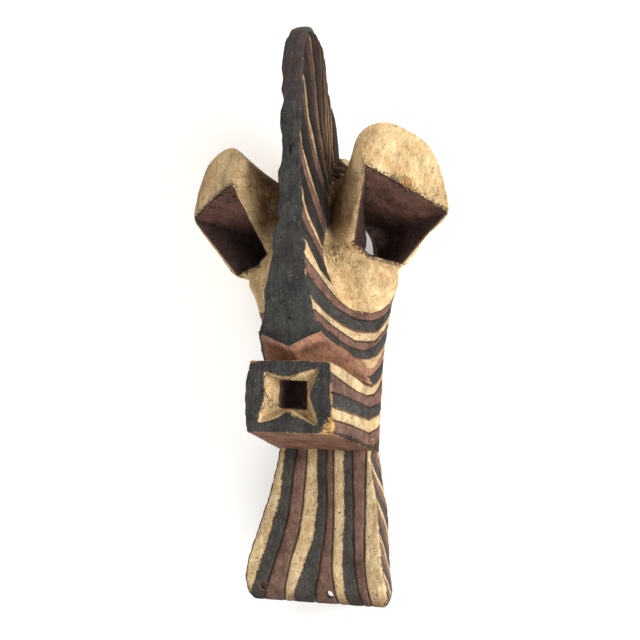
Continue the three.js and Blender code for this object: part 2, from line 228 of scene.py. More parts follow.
def loft(name: str, rings: list[np.ndarray]) -> bpy.types.Object:
    """Solid made by extruding a flat outline from ring to ring.

    Args:
        name: the object's name.
        rings: closed rings with the same number of points.

    Returns:
        The closed solid.
    """
    bpy.ops.object.select_all(action="DESELECT")
    bpy.ops.mesh.primitive_circle_add(vertices=len(rings[0]), fill_type="NGON")
    obj = bpy.context.object
    obj.name = name
    obj.data.name = name
    bpy.ops.object.mode_set(mode="EDIT")
    mesh = bmesh.from_edit_mesh(obj.data)
    spot = mesh.verts.layers.int.new("spot")
    for i, vert in enumerate(mesh.faces[:][0].verts):
        vert[spot] = i
        vert.co = Vector(rings[0][i])
    bmesh.update_edit_mesh(obj.data)
    for ring in rings[1:]:
        bpy.ops.mesh.extrude_region()
        mesh = bmesh.from_edit_mesh(obj.data)
        spot = mesh.verts.layers.int["spot"]
        for vert in mesh.verts:
            if vert.select:
                vert.co = Vector(ring[vert[spot]])
        bmesh.update_edit_mesh(obj.data)
    bpy.ops.mesh.select_all(action="SELECT")
    bpy.ops.mesh.normals_make_consistent(inside=False)
    bpy.ops.object.mode_set(mode="OBJECT")
    return obj


class Join(Enum):
    """How a solid meets another."""

    ADD = "UNION"
    CUT = "DIFFERENCE"


def combine(target: bpy.types.Object, tool: bpy.types.Object, how: Join) -> None:
    """Joins or cuts a solid with another and keeps the other for later.

    Args:
        target: the solid that changes.
        tool: the other solid.
        how: whether the other is added or cut away.
    """
    only(target)
    step = target.modifiers.new(how.name.lower(), "BOOLEAN")
    step.operation = how.value
    step.solver = "MANIFOLD"
    step.object = tool
    bpy.ops.object.modifier_apply(modifier=step.name)


def vectors(obj: bpy.types.Object, name: str) -> np.ndarray:
    """Reads a vector of each vertex.

    Args:
        obj: a mesh object.
        name: co or normal.

    Returns:
        Rows of x, y and z.
    """
    data = np.empty(len(obj.data.vertices) * 3, np.float32)
    obj.data.vertices.foreach_get(name, data)
    return data.reshape(-1, 3).astype(float)


def coords(obj: bpy.types.Object) -> np.ndarray:
    """Rows of the vertices' places."""
    return vectors(obj, "co")


def set_coords(obj: bpy.types.Object, points: np.ndarray) -> None:
    """Moves the vertices."""
    obj.data.vertices.foreach_set("co", points.astype(np.float32).ravel())
    obj.data.update()


def normals(obj: bpy.types.Object) -> np.ndarray:
    """Rows of the vertices' normals."""
    return vectors(obj, "normal")


@dataclass
class Bar:
    """Flat strip from the top of the crest down the nose and over the mouth box.

    Each station gives the height, the strip's half width and level, a point half way back down its
    side, and the foot of its side. Lengths are millimetres.
    """

    stations: tuple[tuple[float, ...], ...] = (
        (320, 7, 137, 8, 132, 5, 126),
        (316, 10, 144, 11, 132, 7, 118),
        (309, 11, 150, 12, 122, 8, 97),
        (300, 11.5, 154.5, 13, 120, 8.5, 86),
        (276, 11.5, 162, 13.5, 120, 9, 80),
        (248, 11, 166.5, 13.5, 118, 9.5, 67),
        (230, 11, 168.5, 13.5, 110, 10, 54),
        (205, 11, 170, 14, 106, 10, 43),
        (180, 11.5, 169, 14.5, 105, 10, 38),
        (150, 12, 169, 15, 110, 16, 60),
        (120, 13, 171, 16.5, 120, 19, 70),
        (85, 17, 174.5, 21, 130, 25, 80),
        (50, 20.5, 174.5, 27.5, 136, 38, 88),
        (23, 25, 174, 33, 138, 49, 90),
        (0, 30.5, 172, 38.5, 136, 55, 88),
        (-15, 35.5, 169.5, 43.5, 133, 58, 84),
        (-31, 39.5, 167.5, 47, 130, 60, 79),
        (-46, 45, 165.5, 50, 124, 61, 72),
        (-66, 48.5, 169, 53, 118, 61, 62),
        (-85, 49.7, 170, 54, 115, 60.5, 57),
        (-104, 49.8, 169, 54, 114, 60, 56),
        (-124, 48.6, 165, 53.5, 112, 60, 55),
        (-150, 47, 160, 53, 110, 60, 54),
    )
    crown: float = 1
    spacing: float = 3.5
    side_steps: int = 10
    front_steps: int = 5

    def outline(self, row: np.ndarray) -> np.ndarray:
        """Right half of the bar's section.

        Args:
            row: a station.

        Returns:
            Rows of x and z.
        """
        _, half, front, mid_x, mid_z, foot_x, foot_z = row
        levels = np.linspace(foot_z, front, self.side_steps)
        side = monotone(np.array([foot_z, mid_z, front]), np.array([foot_x, mid_x, half]), levels)
        across = np.linspace(1, 0, self.front_steps)[1:]
        face = np.column_stack([half * across, front + self.crown * (1 - across**2)])
        return np.vstack([[[0, foot_z - 2]], np.column_stack([side, levels]), face])

    def build(self) -> bpy.types.Object:
        """Lofts the crest, the nose and the block of the mouth box."""
        rows = between(np.array(self.stations, float), self.spacing)
        return loft("bar", [mirrored(row[0], self.outline(row)) for row in rows])

    def front_level(self, y: np.ndarray) -> np.ndarray:
        """Level of the strip's face at heights."""
        rows = np.array(self.stations, float)
        return monotone(-rows[:, 0], rows[:, 2], -y)


@dataclass
class Shell:
    """Rounded shell through stations, or the tool that cuts such a hollow.

    Each station gives the height, the half width on the rim, the widest point of the side, a point on
    the cheek and the level on the middle line.
    """

    name: str
    stations: tuple[tuple[float, ...], ...]
    floor: float = 0
    spacing: float = 4
    steps: int = 7

    def outline(self, row: np.ndarray) -> np.ndarray:
        """Right half of the shell's section.

        Args:
            row: a station.

        Returns:
            Rows of x and z.
        """
        _, rim, ridge_x, ridge_z, cheek_x, cheek_z, crown = row
        corners = np.array([[rim, 0], [ridge_x, ridge_z], [cheek_x, cheek_z], [0, crown]])
        side = rounded(corners, self.steps)
        foot = [[0, self.floor], [rim, self.floor]] if self.floor < 0 else [[0, 0]]
        return np.vstack([foot, side])

    def build(self) -> bpy.types.Object:
        """Lofts the shell."""
        rows = between(np.array(self.stations, float), self.spacing)
        return loft(self.name, [mirrored(row[0], self.outline(row)) for row in rows])


HEAD = (
    (191, 7, 9, 14, 7, 24, 28),
    (187, 16, 19, 18, 14, 36, 44),
    (178, 27, 31, 24, 22, 52, 64),
    (164, 39, 43, 30, 31, 64, 78),
    (146, 50, 54, 34, 40, 72, 90),
    (120, 60, 65, 38, 48, 80, 99),
    (90, 66, 73, 42, 56, 86, 106),
    (62, 70, 84, 58, 66, 94, 112),
    (42, 68, 88, 68, 68, 98, 114),
    (24, 62.5, 80.5, 62, 66, 94, 116),
    (0, 58, 74, 54, 62.5, 89, 118),
    (-28, 54, 67.5, 46, 59.5, 82, 116),
    (-46, 52, 65, 43, 58.5, 76, 110),
    (-75, 50, 64, 44, 58, 62, 90),
    (-114, 48, 62, 43, 57, 60, 80),
    (-150, 48, 60, 42, 56, 56, 60),
)
HOLLOW = (
    (121, 5, 6, 10, 5, 16, 20),
    (114, 23, 27, 20, 17, 40, 46),
    (104, 33, 42, 28, 30, 56, 66),
    (90, 39.5, 51, 34, 39, 69, 80),
    (74, 41, 56, 38, 44, 76, 90),
    (46, 46, 62, 44, 48, 80, 98),
    (0, 46, 59, 42, 48, 76, 100),
    (-46, 42, 52, 36, 45, 66, 96),
    (-90, 40, 49, 36, 44, 60, 92),
    (-122, 39, 48, 34, 43, 54, 84),
    (-140, 40, 47, 30, 44, 42, 46),
)


@dataclass
class Beard:
    """Flaring panel with side walls that taper back to the rim.

    Each station gives the height, the panel's half width, its level, how far its middle bows out, and
    the half width on the rim.
    """

    stations: tuple[tuple[float, ...], ...] = (
        (-138, 55.5, 52, 1, 48),
        (-157, 57, 56, 1.5, 50),
        (-194, 64, 60, 2, 55),
        (-221, 70, 67, 2, 60),
        (-247, 75.5, 77, 2, 61.5),
        (-279, 82, 86, 1.5, 63),
        (-300, 85, 82, 1, 65),
        (-313, 84, 75, 0.5, 66.5),
        (-320, 79, 69, 0, 66),
    )
    chamfer: float = 3
    drop: float = 4
    side_share: float = 0.55
    wall: float = 9
    spacing: float = 3.5
    hollow_top: float = -132
    hollow_floor: float = -6
    past: float = 8
    side_steps: int = 6
    front_steps: int = 9

    def outline(self, row: np.ndarray, inset: float = 0, floor: float = 0) -> np.ndarray:
        """Right half of the beard's section, or of the hollow inside it.

        Args:
            row: a station.
            inset: thickness taken off all round.
            floor: how far below the rim the section starts.

        Returns:
            Rows of x and z.
        """
        _, half, front, bow, rim = row
        half, front, rim = half - inset, front - inset, rim - inset
        foot = [[0, floor], [rim, floor]] if floor < 0 else [[0, 0]]
        middle = [rim + (half - rim) * self.side_share, front / 2]
        side = rounded(np.array([[rim, 0], middle, [half, front - self.drop]]), self.side_steps)
        across = np.linspace(1, 0, self.front_steps)
        face = np.column_stack([(half - self.chamfer) * across, front + bow * (1 - across**2)])
        return np.vstack([foot, side, face])

    def build(self) -> bpy.types.Object:
        """Lofts the beard."""
        rows = between(np.array(self.stations, float), self.spacing)
        return loft("beard", [mirrored(row[0], self.outline(row)) for row in rows])

    def build_hollow(self) -> bpy.types.Object:
        """Lofts the tool that hollows the beard from behind and below.

        Returns:
            The tool, longer than the beard at its foot.
        """
        rows = between(np.array(self.stations, float), self.spacing)
        ends = [rows[0].copy(), rows[-1].copy()]
        ends[0][0], ends[1][0] = self.hollow_top, rows[-1][0] - self.past
        rows = [ends[0], *rows[1:], ends[1]]
        sections = [self.outline(row, self.wall, self.hollow_floor) for row in rows]
        return loft("beard_hollow", [mirrored(row[0], ring) for row, ring in zip(rows, sections)])

    def level(self, y: np.ndarray) -> np.ndarray:
        """Level of the panel's edge at heights."""
        rows = np.array(self.stations, float)
        return monotone(-rows[:, 0], rows[:, 2], -y)


class Side(Enum):
    """Side of the mask, as the viewer sees it."""

    RIGHT = 1
    LEFT = -1


@dataclass
class EyeTube:
    """Eye tube with the slanting pocket cut into it. Points are on the right eye."""

    side: Side
    lift: float = 5
    corners: tuple[Point, ...] = (
        (79, 154, 146),
        (53, 79.5, 108),
        (66.5, 67, 99.5),
        (99, 57.5, 80),
        (150, 117, 86),
    )
    back: tuple[Point, ...] = (
        (37, 109, 35),
        (49, 71, 35),
        (55, 64, 29),
        (61, 66, 22),
        (67, 99, 22),
    )
    mouth: tuple[Point, ...] = (
        (43, 79, 104),
        (52, 112, 118),
        (60, 148, 132),
        (63, 180, 138),
        (69, 192, 135),
        (83, 202, 126),
        (100, 203, 113),
        (117, 196, 101),
        (133, 184, 91),
        (144, 162, 86),
        (151, 138, 84),
        (153, 117, 84),
        (128, 87, 80),
        (101, 55, 77),
        (72, 57, 92),
    )
    root: tuple[Point, ...] = (
        (18, 82, 90),
        (14, 110, 88),
        (17, 130, 80),
        (28, 146, 74),
        (38, 153, 64),
        (48, 152, 48),
        (56, 145, 36),
        (62, 137, 26),
        (66, 128, 18),
        (68, 118, 12),
        (69, 106, 10),
        (69, 92, 10),
        (70, 72, 16),
        (74, 46, 40),
        (52, 36, 70),
    )
    waist: float = 0.45
    pull: float = 3
    dip: float = 0.03
    brow_dip: float = 0.16
    brow_line: float = 150
    brow_start: float = 110
    brow_share: Pair = (0.4, 0.014)
    root_lift: float = 0.3
    bulge: float = 2.2
    bulge_way: Point = (0.55, 0.25, 0.8)
    bulge_span: Pair = (0.06, 0.99)
    reach: float = 0.25
    fine: int = 5
    rings: int = 16
    edge_steps: int = 8

    def placed(self, points: tuple[Point, ...], lift: float) -> np.ndarray:
        """Carries points to this side, at this eye's own height.

        Args:
            points: places on the right eye.
            lift: how far the right eye goes up and the left one down.

        Returns:
            Rows of x, y and z.
        """
        p = np.array(points, float)
        sign = self.side.value
        start, growth = self.brow_share
        share = np.where(p[:, 1] > self.brow_start, start + growth * (p[:, 1] - p[:, 0]), 1)
        return np.column_stack([p[:, 0] * sign, p[:, 1] + sign * lift * share, p[:, 2]])

    def build(self) -> bpy.types.Object:
        """Lofts the tube and its bulging front, which peaks at the opening's inner top corner.

        Returns:
            The closed tube.
        """
        sign = self.side.value
        mouth = self.placed(self.mouth, self.lift)
        root = self.placed(self.root, self.lift * self.root_lift)
        dip = np.where(mouth[:, 1] > self.brow_line, self.brow_dip, self.dip)
        waist = root + (mouth - root) * self.waist
        waist[:, 0] -= sign * self.pull
        waist[:, 1] = root[:, 1] + (mouth[:, 1] - root[:, 1]) * (self.waist - dip)
        root, waist, mouth = (rounded(ring, self.fine, closed=True) for ring in (root, waist, mouth))
        w = self.waist
        rings = []
        for t in np.linspace(0, 1, self.rings):
            low = root * (t - w) * (t - 1) / w
            middle = waist * t * (t - 1) / (w * (w - 1))
            rings.append(low + middle + mouth * t * (t - w) / (1 - w))
        peak = self.placed(self.corners, self.lift)[0]
        out = np.array(self.bulge_way) * (sign, 1, 1) * self.bulge
        for t in np.linspace(*self.bulge_span, self.rings):
            rings.append(mouth + (peak - mouth) * t + out * (4 * t * (1 - t)))
        return loft(f"tube_{self.side.name.lower()}", rings)

    def ceiling(self) -> Vector:
        """Finds which way the pocket's ceiling faces, the wall under the brow.

        Returns:
            Its normal.
        """
        mouth = self.placed(self.corners, self.lift)
        back = self.placed(self.back, self.lift)
        return Vector(np.cross(mouth[4] - mouth[0], back[0] + back[4] - 2 * mouth[0])).normalized()

    def build_pocket(self) -> bpy.types.Object:
        """Lofts the tool that cuts the eye opening through to the hollow.

        Returns:
            The tool, longer than the tube at its mouth.
        """
        mouth = self.placed(self.corners, self.lift)
        back = self.placed(self.back, self.lift)
        n = self.edge_steps
        rings = []
        for t in np.linspace(0, 1 + self.reach, self.rings):
            ring = back + (mouth - back) * t
            sides = zip(ring, np.roll(ring, -1, axis=0))
            rings.append(np.array([a + (b - a) * k / n for a, b in sides for k in range(n)]))
        return loft(f"pocket_{self.side.name.lower()}", rings)


@dataclass
class Mouth:
    """Square hole at the bottom of a hollow star with four points."""

    y: float = -83
    half: float = 15.5
    half_height: float = 15
    bottom: float = 60
    level: float = 152
    star_level: float = 167
    above: float = 7
    growth: float = 1.12
    tips: tuple[Pair, ...] = ((-28, -58.5), (34.5, -54), (34, -115), (-35, -112.5))
    dips: tuple[Pair, ...] = ((-3, -66), (23, -83), (0, -99.5), (-24.5, -85))

    def build(self) -> bpy.types.Object:
        """Lofts the tool that carves the star and the hole.

        Returns:
            The tool, wide at its top.
        """
        corners = [(-1, 1), (0, 1), (1, 1), (1, 0), (1, -1), (0, -1), (-1, -1), (-1, 0)]
        square = np.array([(x * self.half, self.y + y * self.half_height) for x, y in corners])
        star = np.array([spot for pair in zip(self.tips, self.dips) for spot in pair], float)
        wide = np.array([0, self.y]) + (star - [0, self.y]) * self.growth
        rings = (wide, star, square, square)
        levels = (self.star_level + self.above, self.star_level, self.level, self.bottom)
        return loft("mouth", [np.column_stack([r, np.full(len(r), z)]) for r, z in zip(rings, levels)])


@dataclass
class Cuts:
    """Straight cuts that part the nose, the mouth box and the beard, and the tie holes."""

    tip: float = -30.7
    tip_level: float = 167.3
    rise: float = 0.403
    slope: float = 0.63
    box_top: float = -46.3
    box_level: float = 165
    box_slope: float = 0.257
    foot: float = -124
    foot_level: float = 165
    foot_slope: float = 0.205
    ties: tuple[Pair, ...] = ((-62.5, -302.5), (17, -307.5))
    tie_width: float = 8.5
    tie_depth: float = 60
    tie_level: float = 80
    tie_sides: int = 32
    reach: float = 90
    above: float = 200

    def nose(self, x: float, z: float) -> float:
        """Height of the nose's underside at a place across and a level."""
        return self.tip + self.rise * abs(x) + self.slope * (z - self.tip_level)

    def box(self, z: float) -> float:
        """Height of the mouth box's top at a level."""
        return self.box_top + self.box_slope * (z - self.box_level)

    def build_notch(self) -> bpy.types.Object:
        """Builds the wedge of air between the nose and the mouth box.

        Returns:
            The cutting tool.
        """
        z = self.above
        rings = []
        for x in (-self.reach, 0, self.reach):
            valley = (self.box(0) - self.nose(x, 0)) / (self.slope - self.box_slope)
            rings.append(np.array([[x, self.box(valley), valley], [x, self.box(z), z], [x, self.nose(x, z), z]]))
        return loft("notch", rings)

    def build_under(self) -> bpy.types.Object:
        """Builds all that lies below the sloping underside of the mouth box.

        Returns:
            The cutting tool.
        """
        back, front, bottom, reach = -20, 220, -400, 120
        low, high = (self.foot + self.foot_slope * (z - self.foot_level) for z in (back, front))
        ring = np.array([[0, low, back], [0, bottom, back], [0, bottom, front], [0, high, front]])
        return loft("under", [ring + [x, 0, 0] for x in (-reach, reach)])

    def build_tie(self, place: Pair) -> bpy.types.Object:
        """Builds the bore of one tie hole.

        Args:
            place: the hole's place, across and up.

        Returns:
            The cutting tool.
        """
        bpy.ops.object.select_all(action="DESELECT")
        bpy.ops.mesh.primitive_cylinder_add(
            vertices=self.tie_sides,
            radius=self.tie_width / 2,
            depth=self.tie_depth,
            location=(*place, self.tie_level),
        )
        bpy.ops.object.transform_apply(location=True, rotation=False, scale=False)
        bpy.context.object.name = "tie"
        return bpy.context.object


@dataclass(frozen=True)
class Unevenness:
    """Soft bumps: their size and height in millimetres, and the pattern's seed."""

    size: float | Point
    height: float
    seed: int

    def bumps(self, p: np.ndarray) -> np.ndarray:
        """Moves up and down."""
        return self.height * grain_noise(p, self.size, self.seed)

    def strokes(self, p: np.ndarray) -> np.ndarray:
        """Moves as a gouge leaves them, with sharp ridges."""
        return self.height * (1 - np.abs(grain_noise(p, self.size, self.seed)) * 2)


def along(line: Line, at: np.ndarray) -> np.ndarray:
    """A drawn line's second value at some first values."""
    points = np.array(sorted(line), float)
    return np.interp(at, points[:, 0], points[:, 1])


@dataclass
class Bands:
    """Where the painted and carved bands run.

    A band's number counts its borders from above, or from the right on the beard. Each third band is
    pale, the next one is red and the next black. Lengths are millimetres.
    """

    crest: tuple[Line, ...] = (
        ((30, 110), (40, 125), (46, 133), (54, 142), (65, 148), (77, 160), (83, 166), (86, 175), (90, 190)),
        ((46, 120), (64, 132), (76, 141), (92, 156), (109, 170), (119, 176)),
        ((60, 118), (74, 128), (87, 138), (100, 149), (116, 162), (129, 170), (136, 172), (144, 190)),
        ((62, 112), (77, 124), (92, 134), (104, 144), (119, 154), (126, 160), (135, 163), (143, 168), (150, 190)),
        ((86, 108), (102, 120), (117, 129), (136, 143), (153, 157), (168, 167), (177, 170), (184, 190)),
        ((112, 108), (133, 123), (142, 134), (154, 147), (172, 159), (187, 164), (197, 170), (204, 190)),
        ((110, 103), (134, 121), (149, 134), (166, 148), (181, 158), (200, 166), (208, 190)),
        ((130, 98), (146, 110), (163, 126), (183, 140), (208, 152), (229, 164), (244, 172)),
        ((135, 92), (159, 110), (183, 129), (197, 140), (217, 149), (245, 159), (261, 166), (268, 190)),
        ((135, 86), (160, 107), (183, 124), (199, 131), (218, 143), (245, 151), (262, 158), (272, 190)),
        ((150, 91), (172, 107), (203, 121), (229, 131), (255, 141), (281, 149), (300, 156), (312, 190)),
        ((150, 86), (186, 104), (209, 116), (235, 125), (260, 132), (281, 136), (307, 147), (314, 190)),
        ((150, 82), (186, 100), (209, 112), (235, 121), (260, 128), (281, 132), (307, 140), (318, 190)),
        ((150, 77), (199, 103), (250, 112), (286, 118), (310, 126)),
        ((150, 73), (199, 99), (250, 107), (300, 112)),
        ((150, 71), (199, 97), (250, 104), (300, 108)),
        ((150, 69), (189, 95), (301, 101)),
        ((150, 66), (170, 88), (264, 96)),
        ((150, 62), (170, 84), (264, 90)),
        ((150, 59), (170, 79), (192, 83), (258, 87)),
        ((150, 58), (170, 77), (192, 80), (258, 86)),
        ((150, 53), (170, 72), (192, 74), (258, 80)),
        ((150, 51), (194, 73), (237, 75)),
        ((150, 50), (194, 71), (237, 73)),
        ((150, 45), (194, 65), (237, 66)),
    )
    cheek: tuple[Line, ...] = (
        ((175, 86), (166, 82), (160, 77), (155, 71), (148, 63), (142, 54), (133, 46), (125, 40), (96, 80), (2, 110)),
        (
            (175, 70), (166, 61), (160, 57), (149, 49), (136, 36), (124, 24),
            (109, 15), (98, 9), (88, 7), (74, 11), (59, 20), (40, 32), (2, 50),
        ),
        (
            (175, 59), (172, 49), (160, 37), (144, 25), (127, 12), (108, 4),
            (93, -1), (85, -2), (72, 1), (58, 8), (48, 16), (2, 36),
        ),
        ((174, 24), (164, 17), (150, 8), (136, 0), (120, -8), (102, -13), (85, -15), (69, -12), (46, 2), (2, 24)),
        ((167, 8), (157, 2), (139, -9), (118, -18), (103, -24), (82, -25), (71, -24), (61, -17), (48, -8), (2, 12)),
        ((167, -5), (155, -13), (142, -18), (128, -26), (113, -31), (89, -35), (77, -33), (65, -28), (46, -16), (2, 2)),
        ((170, -15), (142, -28), (118, -35), (103, -43), (89, -44), (76, -44), (61, -40), (46, -32), (2, -14)),
        (
            (171, -39), (142, -46), (118, -57), (103, -60), (92, -59.5), (80, -63.5),
            (66, -62), (54, -55), (42, -49), (2, -32),
        ),
        (
            (171, -40), (142, -47), (118, -59), (103, -64), (95, -67), (80, -72),
            (63, -75), (54, -71), (43, -65), (2, -48),
        ),
        (
            (166, -58), (156, -62), (135, -69), (116, -75), (100, -80), (74, -85),
            (57, -84), (49, -77), (43, -71), (2, -56),
        ),
        ((166, -80), (120, -87), (66, -99), (44, -95), (2, -82)),
        ((166, -95), (120, -103), (66, -112), (44, -107), (2, -94)),
        ((166, -108), (120, -115), (66, -127), (44, -122), (2, -109)),
    )
    numbers: tuple[int, ...] = (0, 1, 2, 3, 4, 5, 6, 8, 9, 10, 11, 12, 13)
    patch: Line = ((90, -44), (86, -50), (77, -55), (64, -54), (56, -46), (46, -38), (2, -20))
    foot: Line = (
        (30, 121), (40, 125), (51, 129), (69, 130), (77, 126), (87, 119), (96, 112), (102, 101), (111, 96),
        (123, 92), (146, 88), (156, 77), (161, 72), (165, 66), (172, 50), (180, 20), (400, 0),
    )
    dome: tuple[float, ...] = (170, 176, 182, 186.5, 190, 194.5, 203)
    beard_heights: tuple[float, ...] = (-146, -190, -232, -276, -304)
    beard: tuple[tuple[float, ...], ...] = (
        (50, 52, 55, 61, 63),
        (34, 37, 42, 49, 52),
        (24, 27, 31, 35, 36),
        (11, 14, 18, 22, 24),
        (3, 5, 9, 8, 1),
        (-8, -5, -3, -11, -23),
        (-20, -21, -22, -28, -36),
        (-33, -37, -39, -48, -59),
        (-48, -49, -55, -64, -76),
    )
    beard_ends: Pair = (95, -105)
    side_first: float = -159.5
    side_cycle: tuple[float, float, float] = (9, 15, 15)
    side_slope: float = 0.62
    side_turns: tuple[int, int] = (-2, 6)
    least: float = 0.4
    crest_tilt: float = 0.82
    crest_foot: float = 32
    dome_tilt: float = 0.8
    dome_slope: float = 0.77
    dome_cycle: tuple[float, float, float] = (5.0, 9.0, 9.0)
    dome_turns: int = 8
    dome_first: int = 5
    flank_wobble: Unevenness = Unevenness(17, 0.8, 3)
    dome_wobble: Unevenness = Unevenness(15, 0.8, 9)
    panel_wobble: Unevenness = Unevenness(19, 0.7, 5)
    side_wobble: Unevenness = Unevenness(17, 1.2, 7)
    top: float = 178

    def rows(self, lines: tuple[Line, ...], at: np.ndarray) -> np.ndarray:
        """Reads some lines at each point and keeps them in falling order.

        Args:
            lines: drawn lines, the highest first.
            at: each point's place along them.

        Returns:
            One row of falling places for each point.
        """
        rows = np.column_stack([along(line, at) for line in lines])
        for k in range(1, rows.shape[1]):
            rows[:, k] = np.minimum(rows[:, k], rows[:, k - 1] - self.least)
        return rows

    def count(self, numbers: np.ndarray, borders: np.ndarray, at: np.ndarray) -> np.ndarray:
        """Band number, distance to the nearest border and the band's width.

        Args:
            numbers: the borders' numbers, rising.
            borders: one row of falling places for each point.
            at: each point's place.

        Returns:
            Three columns: the number with its fraction, and distance and width along the row.
        """
        n = borders.shape[1]
        k = np.clip((borders > at[:, None]).sum(axis=1) - 1, 0, n - 2)
        rows = np.arange(len(at))
        high, low = borders[rows, k], borders[rows, k + 1]
        width = np.maximum(high - low, 0.3)
        phase = numbers[k] + np.clip((high - at) / width, -1, 1.99)
        return np.column_stack([phase, np.abs(borders - at[:, None]).min(axis=1), width])

    def flank(self, p: np.ndarray) -> np.ndarray:
        """Reads the bands on crest, cheek and box.

        Args:
            p: rows of x, y and z.

        Returns:
            Rows of band number, distance to the nearest border and band width.
        """
        side = np.sign(p[:, 0]) * 40
        wobble = self.flank_wobble.bumps(np.column_stack([side, p[:, 1], p[:, 2]]))
        y, z = p[:, 1] + wobble, np.clip(p[:, 2], 0, self.top) + wobble
        cheek = self.rows(self.cheek, z)
        found = self.count(np.array(self.numbers), cheek, y)
        slant = (self.rows(self.cheek, z + 2) - self.rows(self.cheek, z - 2)) / 4
        nearest = np.abs(cheek - y[:, None]).argmin(axis=1)
        found[:, 1:] /= np.hypot(1, slant[np.arange(len(p)), nearest])[:, None]
        lines = self.rows(self.crest, y)
        high = (z < lines[:, 0]) & (y > np.maximum(self.crest_foot, cheek[:, 1]))
        crest = self.count(np.arange(len(self.crest)), lines, z)
        crest[:, 0] *= -1
        crest[:, 1:] *= self.crest_tilt
        found[high] = crest[high]
        return found

    def over_dome(self, p: np.ndarray) -> np.ndarray:
        """Reads the bands on the dome behind the crest.

        Args:
            p: rows of x, y and z.

        Returns:
            Rows of band number, distance to the nearest border and band width.
        """
        s = p[:, 1] + self.dome_slope * np.abs(p[:, 0]) + self.dome_wobble.bumps(p)
        first = np.array(self.dome)
        more = first[-1] + np.cumsum(np.tile(self.dome_cycle, self.dome_turns))
        ends = np.concatenate([first, more])
        numbers = np.arange(len(ends)) - self.dome_first
        found = self.count(numbers, -np.tile(ends, (len(p), 1)), -s)
        found[:, 1:] *= self.dome_tilt
        return found

    def beard_face(self, p: np.ndarray) -> np.ndarray:
        """Reads the bands on the beard's panel.

        Args:
            p: rows of x, y and z.

        Returns:
            Rows of band number, distance to the nearest border and band width.
        """
        y = np.array(self.beard_heights[::-1], float)
        right, left = (np.full(len(p), float(end)) for end in self.beard_ends)
        drawn = [monotone(y, np.array(row[::-1], float), p[:, 1]) for row in self.beard]
        borders = np.column_stack([right, *drawn, left])
        return self.count(np.arange(borders.shape[1]), borders, p[:, 0] + self.panel_wobble.bumps(p))

    def beard_side(self, p: np.ndarray, level: np.ndarray) -> np.ndarray:
        """Reads the bands on the beard's side walls.

        Args:
            p: rows of x, y and z.
            level: the panel's level at each point's height.

        Returns:
            Rows of band number, distance to the nearest border and band width.
        """
        u = p[:, 1] + self.side_slope * (level - p[:, 2]) + self.side_wobble.bumps(p)
        ends = self.side_first - np.arange(*self.side_turns)[:, None] * sum(self.side_cycle)
        ends = (ends - np.concatenate([[0], np.cumsum(self.side_cycle)[:2]])).ravel()
        found = self.count(np.arange(len(ends)), np.tile(ends, (len(p), 1)), u)
        found[:, 1:] /= math.hypot(1, self.side_slope)
        return found


class Zone(Enum):
    """Form or cut that a stretch of the surface comes from."""

    HEAD = 0
    BAR = 1
    BEARD = 2
    TUBE = 3
    NOTCH = 4
    UNDER = 5
    HOLLOW = 6
    POCKET = 7
    MOUTH = 8
    TIE = 9
    CEILING = 10


ZONE_NAMES = (("beard_hollow", Zone.HOLLOW), *((zone.name.lower(), zone) for zone in Zone))


def mark(obj: bpy.types.Object) -> None:
    """Writes the object's zone on its faces, which a join or a cut keeps.

    Args:
        obj: a form or a cutting tool, named as in ZONE_NAMES.
    """
    zone = next(z for name, z in ZONE_NAMES if obj.name.startswith(name))
    values = np.full(len(obj.data.polygons), zone.value, np.int32)
    if zone is Zone.POCKET:
        ceiling = EyeTube(Side.RIGHT if obj.name.endswith("right") else Side.LEFT).ceiling()
        values[[abs(face.normal.dot(ceiling)) > 0.8 for face in obj.data.polygons]] = Zone.CEILING.value
    obj.data.attributes.new("zone", "INT", "FACE").data.foreach_set("value", values)


def ramp(value: np.ndarray, low: float, high: float) -> np.ndarray:
    """Soft step from 0 at the low value to 1 at the high one."""
    t = np.clip((value - low) / (high - low), 0, 1)
    return t * t * (3 - 2 * t)


def within(x: np.ndarray, y: np.ndarray, outline: tuple[Pair, ...]) -> np.ndarray:
    """How far inside a closed outline each place is.

    Args:
        x: places across.
        y: places up.
        outline: the outline's corners.

    Returns:
        Distances to the outline, below zero outside it.
    """
    inside = np.zeros(len(x), bool)
    gap = np.full(len(x), 1e3)
    for (ax, ay), (bx, by) in zip(outline, outline[1:] + outline[:1]):
        crosses = (ay > y) != (by > y)
        inside ^= crosses & (x < ax + (y - ay) * (bx - ax) / (by - ay if by != ay else 1))
        length = (bx - ax) ** 2 + (by - ay) ** 2
        t = np.clip(((x - ax) * (bx - ax) + (y - ay) * (by - ay)) / length, 0, 1)
        gap = np.minimum(gap, np.hypot(x - ax - t * (bx - ax), y - ay - t * (by - ay)))
    return np.where(inside, gap, -gap)


